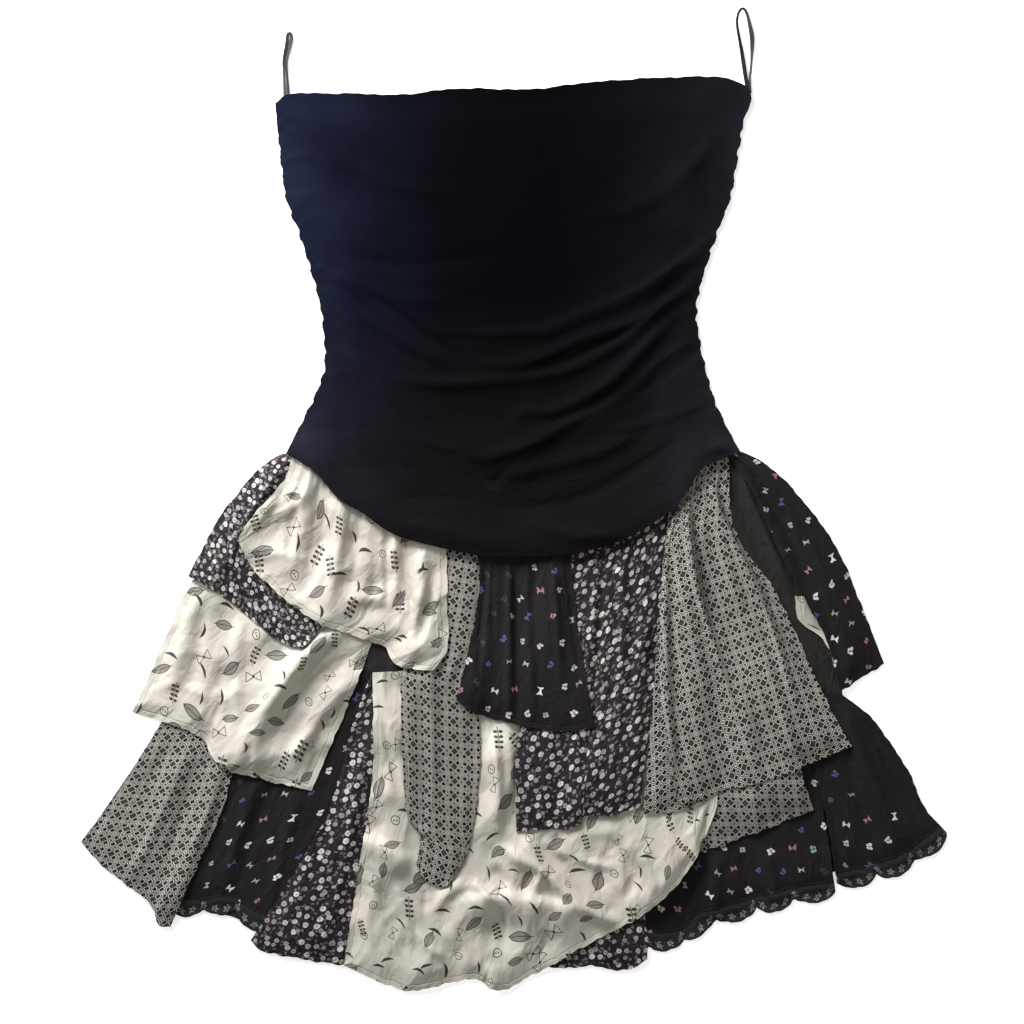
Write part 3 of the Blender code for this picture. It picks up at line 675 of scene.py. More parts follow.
# %% Figures from steps of arithmetic
SIGNS = {"*": "MULTIPLY", "+": "ADD", "-": "SUBTRACT", "/": "DIVIDE", "<": "LESS_THAN", ">": "GREATER_THAN",
         "*+": "MULTIPLY_ADD"}
TERMS = {"ABSOLUTE": 0, "FRACT": 0, "FLOOR": 0, "SQRT": 0, "SINE": 0, "COSINE": 0,  # terms that follow, else 1
         "MULTIPLY_ADD": 2, "COMPARE": 2, "SMOOTH_MIN": 2}


def figure(tree, known, steps):
    """Works steps of arithmetic out in Math nodes and adds their results to the known ones."""
    known = dict(known)

    def term(word):
        return known[word] if word in known else float(word)

    for step in steps.replace("\n", ";").split(";"):
        words = step.partition("#")[0].split()
        if words:
            name, _, first, *rest = words
            result = term(first)
            while rest:
                operation = SIGNS.get(rest[0], rest[0])
                end = 1 + TERMS.get(operation, 1)
                terms = [result, *map(term, rest[1:end])]
                result, rest = add(tree, "Math", dict(enumerate(terms)), operation=operation), rest[end:]
            known[name] = result
    return known


def maps(tree):
    """The cloth's own millimetres across and down, and the distances from its side edges and its hem."""
    known = {"cloth": add(tree, "UVMap", uv_map="cloth")}
    for source, names in ((known["cloth"], "uv"), (add(tree, "UVMap", uv_map="edges"), ("side", "hem"))):
        split = add(tree, "SeparateXYZ", {0: source}).node
        known.update(zip(names, split.outputs))
    return known


HEM = 4.5  # millimetres of cloth turned under along a panel's edge
HEM_STEPS = f"""
    off_line = side MINIMUM hem - {HEM} ABSOLUTE; groove = off_line SMOOTH_MIN 0.8 0.3
    near_line = off_line < 0.3; thread = u * 0.36 FRACT < 0.62 * near_line"""


def crumple(tree, cloth, size, turn=0.0, long=2.2):
    """The height of fine sharp wrinkles of about that size, in millimetres, long times longer than wide."""
    turned = add(tree, "Mapping", {"Vector": cloth, "Rotation": (0, 0, turn), "Scale": (size, size * long, 1)},
                 vector_type="TEXTURE")
    return add(tree, "TexNoise", {"Vector": turned, "Scale": 1.0, "Detail": 3.0, "Roughness": 0.5, "Distortion": 0.6},
               noise_dimensions="2D")


def facets(tree, cloth, size, turn, long):
    """The height of large flat-sided crumples with soft ridges, as smooth cloth has where it was pressed together."""
    stray = add(tree, "TexNoise", {"Vector": cloth, "Scale": 0.6 / size, "Detail": 2.0}, "Color")
    bent = add(tree, "VectorMath", {0: stray, 1: (0.7 * size, 0.7 * size, 0), 2: cloth}, operation="MULTIPLY_ADD")
    turned = add(tree, "Mapping", {"Vector": bent, "Rotation": (0, 0, turn), "Scale": (size, size * long, 1)},
                 vector_type="TEXTURE")
    return add(tree, "TexVoronoi", {"Vector": turned, "Scale": 1.0, "Smoothness": 0.22}, "Distance",
               voronoi_dimensions="2D", feature="SMOOTH_F1")


def bumped(tree, *heights):
    """One normal from several heights, each with its depth in millimetres."""
    inputs = {"Strength": 1.0}
    for height, depth in heights:
        inputs.update({"Height": height, "Distance": depth * MM})
        inputs["Normal"] = add(tree, "Bump", inputs)
    return inputs["Normal"]


def woven(name, pitch, slubs):
    """The start of a woven cloth: its maps, its turned hem and the height of its threads, with thick places."""
    made, tree = new_material(name)
    known = figure(tree, maps(tree), HEM_STEPS)
    known["slub"] = add(tree, "TexNoise", {"Vector": known["cloth"], "Scale": 1 / slubs, "Detail": 4.0,
                                           "Roughness": 0.65})
    turn = 2 * math.pi / pitch
    return made, tree, figure(tree, known, f"weft = v * {turn} SINE; weave = u * {turn} SINE * weft *+ 0.12 slub")


def finish_woven(made, known, colour, rough, shine, *wrinkles, depth=0.12):
    """The end of a woven cloth: its wrinkles, the groove of its hem and its threads make one normal."""
    normal = bumped(made.node_tree, *wrinkles, (known["groove"], 0.3), (known["weave"], depth))
    return finish_material(made, Base_Color=colour, Roughness=rough, Specular_IOR_Level=shine, Normal=normal)


Cloth = namedtuple("Cloth", "finish slot wall")
CLOTHS = {}  # each cloth's finish, the slot that it stands for and its thickness in millimetres
print("turned hems:", HEM, "mm")

# %% [markdown]
# ### Black jersey
# The bodice is viscose jersey: a knitted cloth, matt and very dark, with fine vertical ribs. The soft bluish sheen
# where light grazes it is painted into its colour. The ribs are half a millimetre apart on the real cloth and are drawn
# three times as coarse, so that they show. The painted sheen grows towards both sides, bluish at the upper left and
# greyer on the right and low down, and the base colour is painted lighter low down, where the lamp's light falls off.

# %% Black jersey
RIB, COURSE = 1.7, 2.3  # millimetres from rib to rib and from row to row
NECK_HEM, HALF_WIDTH = 13.0, 200.0
made, tree = new_material("viscose_jersey_knitted")  # knitted viscose: matt, dark, with a faint painted sheen at the edges
known = maps(tree)
cloth = known["cloth"]
lint = add(tree, "TexNoise", {"Vector": cloth, "Scale": 0.9, "Detail": 5.0, "Roughness": 0.7})
known["cloudy"] = add(tree, "TexNoise", {"Vector": cloth, "Scale": 0.018, "Detail": 3.0})
known["low"] = add(tree, "MapRange", {"Value": known["v"], "From Min": 170.0, "From Max": 350.0})
known["right"] = add(tree, "MapRange", {"Value": known["u"], "From Min": -60.0, "From Max": 60.0})
known["ruche"] = crumple(tree, cloth, 8.0, 1.45, 4.5)
known = figure(tree, known, f"""
    rib = u * {2 * math.pi / RIB} SINE; knit = v * {2 * math.pi / COURSE} SINE *+ 0.3 rib
    groove = hem - {NECK_HEM} ABSOLUTE SMOOTH_MIN 0.9 0.4; ruched = ruche * low
    bloom = u ABSOLUTE * {1 / HALF_WIDTH} POWER 2.6 * cloudy; grey = low MAXIMUM right""")
# painted sheen: bluish at the upper left and greyer on the right and low down, standing in for light grazing the jersey
bloom = paint(tree, "#272e48", "#2b2930", known["grey"])
# painted light: the base is lighter low down, where the lamp's light falls off, and the painted sheen lies over it
shade = paint(tree, paint(tree, "#020205", "#110f10", known["low"]), bloom, known["bloom"])
specks = add(tree, "MapRange", {"Value": lint, "From Min": 0.62, "From Max": 0.8, "To Max": 0.15})
normal = bumped(tree, (crumple(tree, cloth, 14.0, 0.9, 3.0), 0.3), (known["ruched"], 0.7), (known["groove"], 0.1),
                (known["knit"], 0.02), (lint, 0.06))
CLOTHS["jersey"] = Cloth(finish_material(made, Base_Color=paint(tree, shade, "#26262e", specks), Roughness=0.85,
                                         Specular_IOR_Level=0.04, Normal=normal), "jersey", 0.7)
print("jersey:", len(tree.nodes), "nodes")

# %% [markdown]
# ### Black voile
# The underskirt is voile, a thin open plain weave. It looks a little greyer than the jersey because light passes
# through it, and it takes fine crinkles.

# %% Black voile
made, tree, known = woven("cotton_voile_plain", 1.5, 2.2)  # thin open weave: dark grey-black, crinkled
colour = paint(tree, "#181716", "#33312f", known["slub"])
CLOTHS["voile"] = Cloth(finish_woven(made, known, colour, 0.8, 0.18, (crumple(tree, known["cloth"], 8.0), 1.3)),
                        "black_voile", 0.4)
print("voile:", len(tree.nodes), "nodes")

# %% [markdown]
# ### Motifs that are scattered over a cloth
# A printed cloth repeats its motifs in rows, turned this way and that. The cloth is divided into cells, each cell draws
# random numbers for its motif's place, turn and kind, and the motif is then drawn in its own millimetres.

# %% Scattered motifs
def scattered(tree, cloth, pitch, jitter, seed):
    """A motif's own place x, y in millimetres, random numbers for its kind and size, and its cell's middle."""
    wide, tall = pitch
    known = figure(tree, dict(zip("uv", add(tree, "SeparateXYZ", {0: cloth}).node.outputs)), f"""
        down = v *+ {1 / tall} {31.4 + seed}; across = u *+ {1 / wide} {52.7 + seed}
        staggered = down FLOOR MODULO 2 *+ 0.5 across""")
    place = add(tree, "CombineXYZ", {0: known["staggered"], 1: known["down"], 2: float(seed)})
    cell = add(tree, "VectorMath", {0: place}, operation="FLOOR")
    local = add(tree, "VectorMath", {0: place}, operation="FRACTION")
    first = add(tree, "TexWhiteNoise", {"Vector": cell}, "Color")
    moved = add(tree, "VectorMath", {0: cell, 1: (7.3, 3.1, 11.9)}, operation="ADD")
    second = add(tree, "TexWhiteNoise", {"Vector": moved}).node
    shake = add(tree, "VectorMath", {0: first, 1: (jitter,) * 3, 2: (0.5 - jitter / 2,) * 3}, operation="MULTIPLY_ADD")
    offset = add(tree, "VectorMath", {0: local, 1: shake}, operation="SUBTRACT")
    in_mm = add(tree, "VectorMath", {0: offset, 1: (wide, tall, 0)}, operation="MULTIPLY")
    angle = add(tree, "Math", {0: second.outputs["Value"], 1: 2 * math.pi}, operation="MULTIPLY")
    turned = add(tree, "VectorRotate", {"Vector": in_mm, "Angle": angle}, rotation_type="Z_AXIS")
    chance = add(tree, "SeparateColor", {0: second.outputs["Color"]}).node
    start = ((-52.2 - seed) * wide, (-30.9 - seed) * tall, 0)
    middle = add(tree, "VectorMath", {0: cell, 1: (wide, tall, 0), 2: start}, operation="MULTIPLY_ADD")
    return {**dict(zip("xy", add(tree, "SeparateXYZ", {0: turned}).node.outputs)),
            **dict(zip(("pick", "size", "kind"), chance.outputs)), "middle": middle}


# %% [markdown]
# ### White satin with small ink drawings
# The white panels are cotton satin: a smooth face that shines softly along its folds, and crumples in small sharp
# wrinkles. It is printed with ordinary motifs in loose rows: leaves, petals, bows, sprigs and rings in thin dark ink
# with some grey fill.

# %% White satin
INK_STEPS = """
    grow = size *+ 0.45 0.75; x = x / grow; y = y / grow; ax = x ABSOLUTE; ay = y ABSOLUTE
    xx = x * x; yy = y * y; r = xx + yy SQRT; thin = ay < 0.28
    # leaf: where two circles overlap, with slanting veins and a stalk
    lift = ay + 7.1; leaf = lift * lift + xx SQRT - 10.7; leaf_fill = leaf < 0; stalk = ax < 10 * thin
    veins = ay *+ 1.2 x * 0.62 FRACT < 0.3 * leaf_fill; leaf_ink = leaf ABSOLUTE < 0.3 MAXIMUM veins MAXIMUM stalk
    # petal: a slim bent blade, broad at its middle and pointed at both ends
    taper = xx *+ -0.03 1.2; petal_ink = xx *+ 0.045 y ABSOLUTE < taper
    # bow: two outlined wings and a knot
    half = ax *+ 0.5 0.4; wing_end = ax < 5.8; wing = ay - half ABSOLUTE < 0.3 * wing_end; knot = r < 1
    bar_end = ay < half; bar = ax - 5.8 ABSOLUTE < 0.28 * bar_end; bow_ink = wing MAXIMUM bar MAXIMUM knot
    # sprig: a stem with pairs of small leaves
    pair = x * 0.26 FRACT - 0.5; pair_x = pair * pair * 11; out = ay - 2; oval_end = ax < 7.6; stem = ax < 9.4 * thin
    sprig_ink = out * out * 0.4 + pair_x < 1 * oval_end MAXIMUM stem
    # ring with two dots
    dot_x = ax - 1.2; dot = dot_x * dot_x + yy < 0.4; ring_ink = r - 3.3 ABSOLUTE < 0.32 MAXIMUM dot
    # which of them a cell shows
    is_leaf = pick COMPARE 0.11 0.11; grey = is_leaf * leaf_fill; ink = is_leaf * leaf_ink
    ink = pick COMPARE 0.4 0.18 *+ petal_ink ink; ink = pick COMPARE 0.65 0.07 *+ bow_ink ink
    ink = pick COMPARE 0.8 0.08 *+ sprig_ink ink; ink = pick COMPARE 0.94 0.06 *+ ring_ink ink"""
INK_LAYERS = (((28.0, 27.0), 0.3, 3.0), ((33.0, 29.0), 0.36, 8.0))  # pitch in millimetres, jitter and seed
made, tree, known = woven("cotton_satin_printed", 1.4, 1.6)  # smooth satin: soft shine along folds, inked drawings
cloth = known["cloth"]
cloudy = add(tree, "TexNoise", {"Vector": cloth, "Scale": 0.03, "Detail": 2.0})
colour = paint(tree, "#d0ccbf", "#c2bdb0", cloudy)
for layer in INK_LAYERS:
    drawn = figure(tree, scattered(tree, cloth, *layer), INK_STEPS)
    colour = paint(tree, paint(tree, colour, "#97938a", drawn["grey"]), "#3d3833", drawn["ink"])
finish = finish_woven(made, known, paint(tree, colour, "#b8b2a2", known["thread"]), 0.5, 0.3,
                      (crumple(tree, cloth, 13.0, 0.4), 1.5), (facets(tree, cloth, 30.0, 0.5, 1.7), 6.5), depth=0.04)
CLOTHS["satin"] = Cloth(finish, "white_satin", 0.45)
print("satin:", len(tree.nodes), "nodes")

# %% [markdown]
# ### Dotted lawn
# A plum-black cotton lawn printed with uneven cream discs, each a little darker at its centre, and with small flecks
# and fine grey strokes between them. A Voronoi texture scatters points at even distances: each point becomes a disc,
# and a closer set of points becomes flecks that are turned at random.

# %% Dotted lawn
def dotted_lawn(name, pitch, share):
    """Discs pitch millimetres apart whose radius is about that share of the pitch."""
    made, tree, known = woven(name, 1.4, 1.8)  # fine plain weave: matt, printed discs sit in the cloth
    blot = add(tree, "TexNoise", {"Vector": known["cloth"], "Scale": 0.45, "Detail": 1.0}, "Color")
    place = add(tree, "VectorMath", {0: blot, 1: (1.5, 1.5, 0), 2: known["cloth"]}, operation="MULTIPLY_ADD")
    discs, flecks = (add(tree, "TexVoronoi", {"Vector": place, "Scale": 1 / apart, "Randomness": loose},
                         voronoi_dimensions="2D").node for apart, loose in ((pitch, 0.78), (0.55 * pitch, 1.0)))
    offset = add(tree, "VectorMath", {0: place, 1: flecks.outputs["Position"]}, operation="SUBTRACT")
    chance = add(tree, "SeparateColor", {0: discs.outputs["Color"]}).node
    other = add(tree, "SeparateColor", {0: flecks.outputs["Color"]}).node
    angle = add(tree, "Math", {0: other.outputs[0], 1: 6.28}, operation="MULTIPLY")
    turned = add(tree, "VectorRotate", {"Vector": offset, "Angle": angle}, rotation_type="Z_AXIS")
    strands = add(tree, "TexNoise", {"Vector": known["cloth"], "Scale": 0.28, "Detail": 1.0, "Distortion": 1.2})
    drawn = figure(tree, {"off": discs.outputs["Distance"], "size": chance.outputs[0], "kind": chance.outputs[1],
                          **dict(zip("xy", add(tree, "SeparateXYZ", {0: turned}).node.outputs)),
                          "rare": other.outputs[1], "strands": strands}, f"""
        reach = size *+ {0.35 * share} {0.78 * share}; disc = off < reach; eye_reach = reach * 0.4; eyed = kind > 0.35
        eye = off < eye_reach * eyed * 0.45; clear_reach = reach + 0.07; clear = off > clear_reach
        fx = x * 1.25; fy = y * 0.62; fy_2 = fy * fy; some = rare > 0.3; fleck = fx * fx + fy_2 < 1 * some * clear
        lilac = kind > 0.85; strand = strands COMPARE 0.5 0.012""")
    ground = paint(tree, paint(tree, "#161113", "#2a2226", known["slub"]), "#4d464a", drawn["strand"])
    light = paint(tree, paint(tree, "#85807e", "#d0cbc5", drawn["size"]), "#9a9399", drawn["lilac"])
    colour = paint(tree, paint(tree, ground, "#6d6767", drawn["fleck"]), light, drawn["disc"])
    return finish_woven(made, known, paint(tree, colour, "#5d5653", drawn["eye"]), 0.75, 0.2,
                        (crumple(tree, known["cloth"], 9.0, 0.2), 1.8))


CLOTHS["dotted"] = Cloth(dotted_lawn("cotton_lawn_large_dots", 8.2, 0.27), "dotted_lawn", 0.45)
CLOTHS["dotted_small"] = Cloth(dotted_lawn("cotton_lawn_small_dots", 6.4, 0.28), "dotted_lawn", 0.45)
print("cloths so far:", list(CLOTHS))

# %% [markdown]
# ### Lattice lawn
# A small black and white check print. Its repeat was charted on slanted axes: four dark squares stand around a
# pale ring with a grey dot in it, a small dark dot lies halfway between each group of four and the next, and every
# dark shape has a thin pale outline. Where four groups meet there is one more grey dot. The outlines run together
# into slanted threads of pale line on a grey ground.

# %% Lattice lawn
LATTICE = 12.0  # millimetres to one repeat
made, tree, known = woven("cotton_lawn_lattice", 1.4, 1.8)  # fine plain weave with a dense two-colour print
drawn = figure(tree, known, f"""
    a = u * {1 / LATTICE} FRACT - 0.5 ABSOLUTE; b = v * {1 / LATTICE} FRACT - 0.5 ABSOLUTE; sum = a + b
    off = a - b ABSOLUTE; from_side = 0.5 - off; rb = b - 0.25 ABSOLUTE; from_square = a - 0.25 ABSOLUTE + rb
    side_dot = from_side < 0.11; black = from_square < 0.175 MAXIMUM side_dot
    side_line = from_side COMPARE 0.142 0.032; ring = sum COMPARE 0.125 0.045
    line = from_square COMPARE 0.207 0.032 MAXIMUM side_line MAXIMUM ring
    corner = sum > 0.9; grey = sum < 0.07 MAXIMUM corner""")
colour = paint(tree, "#33312c", paint(tree, "#b6b3a9", "#d6d3c9", known["slub"]), drawn["line"])
colour = paint(tree, paint(tree, colour, "#3f3d38", drawn["grey"]), "#171513", drawn["black"])
finish = finish_woven(made, known, colour, 0.72, 0.2, (crumple(tree, known["cloth"], 10.0, -0.2), 1.8))
CLOTHS["lattice"] = Cloth(finish, "lattice_lawn", 0.45)
print("lattice:", len(tree.nodes), "nodes")

# %% [markdown]
# ### Butterfly voile
# Sheer black voile with small butterflies and bows in white, pink, violet and mint, in staggered rows. A butterfly is
# two discs on each side of a thin body.

# %% Butterfly voile
WING_STEPS = """
    grow = size *+ 0.4 0.85; ax = x / grow ABSOLUTE; gy = y / grow; split = ax > 0.12
    ux = ax - 1.4; uy = gy - 0.85; uy_2 = uy * uy; upper = ux * ux + uy_2 < 1.5
    lx = ax - 1; ly = gy + 1.1; ly_2 = ly * ly; butterfly = lx * lx + ly_2 < 0.8 MAXIMUM upper * split
    wing_y = ax *+ 0.8 0.3; in_y = gy ABSOLUTE < wing_y; is_bow = kind > 0.6; bow = ax < 2.5 * in_y * is_bow
    other = 1 - is_bow; motif = butterfly *+ other bow
    is_pink = pick COMPARE 0.52 0.07; is_violet = pick COMPARE 0.68 0.09; is_mint = pick COMPARE 0.8 0.03
    is_dim = pick > 0.83"""
PLAIN_FROM = -66.0  # millimetres from the middle, where the print of the corner panel ends along a slanting line


def butterfly_voile(name, plain_from=None):
    """The print all over, or only up to a slanting line."""
    made, tree, known = woven(name, 1.5, 2.2)  # thin open weave: near black, with small light-coloured prints
    ragged = add(tree, "TexNoise", {"Vector": known["cloth"], "Scale": 0.5, "Detail": 1.0}, "Color")
    place = add(tree, "VectorMath", {0: ragged, 1: (2.2, 2.2, 0), 2: known["cloth"]}, operation="MULTIPLY_ADD")
    drawn = figure(tree, scattered(tree, place, (18.0, 19.0), 0.42, 5.0), WING_STEPS)
    colour = paint(tree, "#8d8a88", "#dedbd8", drawn["size"])
    for kind, code in (("is_pink", "#9c7480"), ("is_violet", "#56507c"), ("is_mint", "#84a89b"), ("is_dim", "#39353f")):
        colour = paint(tree, colour, code, drawn[kind])
    if plain_from is not None:  # whole motifs are left out beyond the line
        drawn.update(zip("uv", add(tree, "SeparateXYZ", {0: drawn["middle"]}).node.outputs))
        drawn = figure(tree, drawn, f"motif = v *+ -0.7 u < {plain_from} * motif")
    colour = paint(tree, paint(tree, "#121010", "#211d1e", known["slub"]), colour, drawn["motif"])
    return finish_woven(made, known, colour, 0.78, 0.2, (crumple(tree, known["cloth"], 8.0), 1.4))


CLOTHS["butterfly"] = Cloth(butterfly_voile("cotton_voile_butterflies"), "butterfly_voile", 0.4)
CLOTHS["butterfly_edge"] = Cloth(butterfly_voile("cotton_voile_half_printed", PLAIN_FROM), "butterfly_voile", 0.4)
print("cloths so far:", list(CLOTHS))

# %% [markdown]
# ### Lace and ribbon
# The edging is narrow black raschel lace: a fine net with a corded rim and small grey-green embroidered flowers, with
# painted glints where they would catch the light. Its net is far below four millimetres, so it is drawn and not cut.
# The hanger loops are narrow woven satin ribbon.

# %% Lace and ribbon
FLOWER = 9.5  # millimetres from one flower of the lace to the next
RIBBON_RIB = 1.1  # and from rib to rib of the ribbon
made, tree = new_material("nylon_lace_black")  # fine black net, corded rim, painted pale glints in the embroidery
known = figure(tree, maps(tree), f"""
    du = u * 0.55; dv = v * 0.55; across = du - dv FRACT > 0.42; hole = du + dv FRACT > 0.42 * across
    rim = hem < 1.1; solid = 1 - rim; open = hole * solid
    kx = u * {1 / FLOWER} FRACT - 0.5 * {FLOWER}; ky = hem - 4.8; ky_2 = ky * ky; far = kx * kx + ky_2 SQRT
    petal_end = ky ARCTAN2 kx * 5 COSINE *+ 0.8 2.4; flower = far < petal_end; heart = far < 0.7""")
# painted glints: random pale spots on the embroidered flowers stand in for light caught by the thread
glint = add(tree, "TexNoise", {"Vector": known["cloth"], "Scale": 0.8, "Detail": 2.0})
painted_glint = add(tree, "MapRange", {"Value": glint, "From Min": 0.44, "From Max": 0.64})
colour = paint(tree, "#121312", "#373a37", known["open"])
colour = paint(tree, colour, paint(tree, "#4c554f", "#b4bdb6", painted_glint), known["flower"])
normal = bumped(tree, (known["hole"], -0.25), (known["flower"], 0.4), (known["rim"], 0.5))
CLOTHS["lace"] = Cloth(finish_material(made, Base_Color=paint(tree, colour, "#1a1b1a", known["heart"]), Roughness=0.6,
                                       Specular_IOR_Level=0.3, Normal=normal), "lace", 0.5)

made, tree = new_material("polyester_ribbon_satin")  # smooth narrow satin: a blue-black shine along its length
known = figure(tree, maps(tree), f"ribs = v * {2 * math.pi / RIBBON_RIB} SINE; selvedge = side < 0.45")
normal = bumped(tree, (known["ribs"], 0.03), (known["selvedge"], 0.1))
CLOTHS["ribbon"] = Cloth(finish_material(made, Base_Color=paint(tree, "#101217", "#1d2027", known["selvedge"]),
                                         Roughness=0.42, Specular_IOR_Level=0.5, Anisotropic=0.4, Normal=normal),
                         "ribbon", 0.5)
print("finishes:", {cloth.finish.name: len(cloth.finish.node_tree.nodes) for cloth in CLOTHS.values()})

# %% [markdown]
# ## Making a sheet
# One function turns a grid of places and heights into a thin shell: it makes the faces, writes the two maps, gives the
# sheet its thickness downwards with Solidify and smooths it. Modelling each panel by hand from a plane would take the
# same steps.

# %% Making a sheet
def make_sheet(name, cloth, grid, top, gaps, hem=None):
    """A sheet of cloth with its maps, thickness, finish and body, and its flat size and area in metres."""
    points = np.dstack([grid + SHIFT, top]) * MM
    index = np.arange(top.size).reshape(top.shape)
    quads = np.stack([index[:-1, :-1], index[1:, :-1], index[1:, 1:], index[:-1, 1:]], axis=-1).reshape(-1, 4)
    mesh = bpy.data.meshes.new(f"{name}_cloth")
    mesh.from_pydata(points.reshape(-1, 3).tolist(), [], quads.tolist())
    risen = edge_gaps(np.dstack([grid, top]))
    across = risen.left - risen.left[:, -1:] / 2
    side = np.minimum(gaps.left, gaps.right)
    corner = np.empty(len(mesh.loops), int)
    mesh.loops.foreach_get("vertex_index", corner)
    for layer, pair in (("cloth", (across, risen.seam)), ("edges", (side, gaps.hem if hem is None else hem))):
        uv = mesh.uv_layers.new(name=layer)
        uv.data.foreach_set("uv", np.stack([part.ravel()[corner] for part in pair], axis=1).ravel())
    mesh.materials.append(CLOTHS[cloth].finish)
    piece = bpy.data.objects.new(f"{name}_cloth", mesh)
    bpy.context.scene.collection.objects.link(piece)
    bpy.ops.object.select_all(action="DESELECT")
    piece.select_set(True)
    bpy.context.view_layer.objects.active = piece
    shell = piece.modifiers.new("thickness", "SOLIDIFY")
    shell.thickness = CLOTHS[cloth].wall * MM
    shell.offset = -1.0
    bpy.ops.object.modifier_apply(modifier=shell.name)
    bpy.ops.object.shade_smooth_by_angle(angle=math.radians(60))
    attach(piece, "root")
    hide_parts(name)
    wide, long = risen.left[:, -1].max(), risen.seam[-1].max()
    area = np.linalg.norm(np.cross(points[1:, :-1] - points[:-1, :-1], points[:-1, 1:] - points[:-1, :-1]), axis=2)
    print(f"{name}: {len(mesh.polygons)} faces, {wide:.0f} x {long:.0f} mm")
    return piece, (wide * MM, long * MM), float(area.sum())


def settled(name, cloth, grid, gaps, droop=14.0, lifted=0.2, reach=(3, 4)):
    """The resting height of a sheet's upper side, and the lowest that it may be."""
    floor_height = beneath(grid) + CLEAR + CLOTHS[cloth].wall
    guide = np.maximum(soften(wall_top(name, grid), reach) - 0.4, floor_height)
    free = smooth_step(np.minimum(np.minimum(gaps.left, gaps.right), gaps.hem) / droop)
    return floor_height + (guide - floor_height) * (lifted + (1 - lifted) * free), floor_height


# %% [markdown]
# ## The back and the hanger loops
# The back lies flat on the floor, so it gets only shallow creases. The two loops are flat ribbons sewn in at the neck
# corners: the right one lies open, the left one has collapsed.

# %% Back of the dress
TUCK = 8.0  # how far the top of a panel runs up behind the bodice
RUCHE = 15.0  # from one gather of a side seam to the next
sheets = {}


def bodice_grid(waist, columns, rows):
    """The bodice's places. Its gathered side seams wander in and out."""
    share = np.linspace(0, 1, rows + 1)
    sides = []
    for points, seed, way in ((LEFT_SIDE, 4, -1), (RIGHT_SIDE, 9, 1)):
        side = spaced(points, rows)
        along = distances(side)
        base = np.sin(2 * math.pi * along / RUCHE + 1.3 * np.sin(along / 31))
        ends = np.minimum(1, 8 * np.minimum(share, 1 - share))
        side[:, 0] += way * (0.7 * base + 0.6 * waver(along, 13.0, seed)) * ends
        sides.append(side)
    neck = spaced(NECK, columns)
    neck[:, 1] += 0.5 * waver(neck[:, 0], 34.0, 2)
    return patch(neck, spaced(waist, columns), *sides, share)


def keep(name, cloth, grid, top, gaps, held, rests_on, hem=None):
    piece, flat, area = make_sheet(name, cloth, grid, top, gaps, hem)
    lay_down(grid, top)
    sheets[name] = dict(piece=piece, flat=flat, area=area, held=held, rests_on=rests_on, with_pieces=[])


def swell(gaps, rise, pitch, seed):
    """Slack that only lifts the cloth, and not at its sides."""
    return np.abs(slack(gaps, rise, pitch, seed)) * smooth_step(np.minimum(gaps.left, gaps.right) / 12)


back = bodice_grid(BACK_WAIST, 100, 90)
back[0, :, 1] -= 2.4
gaps = edge_gaps(back)
keep("bodice_back", "jersey", back, 0.75 + swell(gaps, 0.25, 46.0, 21), gaps, "laid", [], gaps.seam)

share = np.linspace(0, 1, 101)
top_edge, hem_edge = spaced(BACK_WAIST, 190) - (0, 0.45), spaced(BACK_HEM, 190)
hem_edge[:, 1] += 0.7 * waver(hem_edge[:, 0], 26.0, 5)
skirt = patch(top_edge, hem_edge, edge(top_edge[0], BACK_LEFT, hem_edge[0], share),
              edge(top_edge[-1], BACK_RIGHT, hem_edge[-1], share), share)
gaps = edge_gaps(skirt)
keep("skirt_back", "voile", skirt, 0.45 + swell(gaps, 0.35, 38.0, 22), gaps, "laid", [])

# %% Hanger loops
RIBBON_RISE = 0.7  # millimetres from what is beneath to the ribbon's upper side


def outward_of(ahead):
    """Unit steps to the right of the way ahead."""
    return np.stack([ahead[:, 1], -ahead[:, 0]], axis=1) / np.linalg.norm(ahead, axis=1)[:, None]


def ribbon_loop(name, route, steps):
    """A flat ribbon along a route of places and widths."""
    route = np.array(route)
    line = spaced(route[:, :2], steps)
    wide = np.interp(np.linspace(0, 1, steps + 1), np.linspace(0, 1, len(route)), route[:, 2])
    across = outward_of(np.gradient(line, axis=0))
    grid = line[:, None, :] + across[:, None, :] * (wide[:, None] * np.linspace(-0.5, 0.5, 5))[..., None]
    top = soften(wall_top(name, grid), (4, 1))
    piece, flat, _ = make_sheet(name, "ribbon", grid, np.maximum(top, beneath(grid) + RIBBON_RISE), edge_gaps(grid))
    lay_down(grid, top)
    print(name, "ribbon length", round(flat[1] / MM), "mm")
    return piece


loops = [ribbon_loop("hanger_loop_right", LOOP_RIGHT, 110), ribbon_loop("hanger_loop_left", LOOP_LEFT, 90)]

# %% [markdown]
# ## The skirt's panels
# The panels are laid in the order in which they were sewn, the lowest first. Each hangs from its seam, fills the space
# between its two edges and its hem, and lies on what is already there. Three of them carry a scalloped lace edging.

# %% Skirt panels
ACROSS, DOWN = 1.9, 2.4  # millimetres from point to point
SCALLOP = 34.0  # millimetres from one scallop of the lace to the next
LACE_WIDTH, LACE_DIP, LACE_LAP = 13.0, 7.0, 1.2  # below the hem, less between two scallops, and on the hem


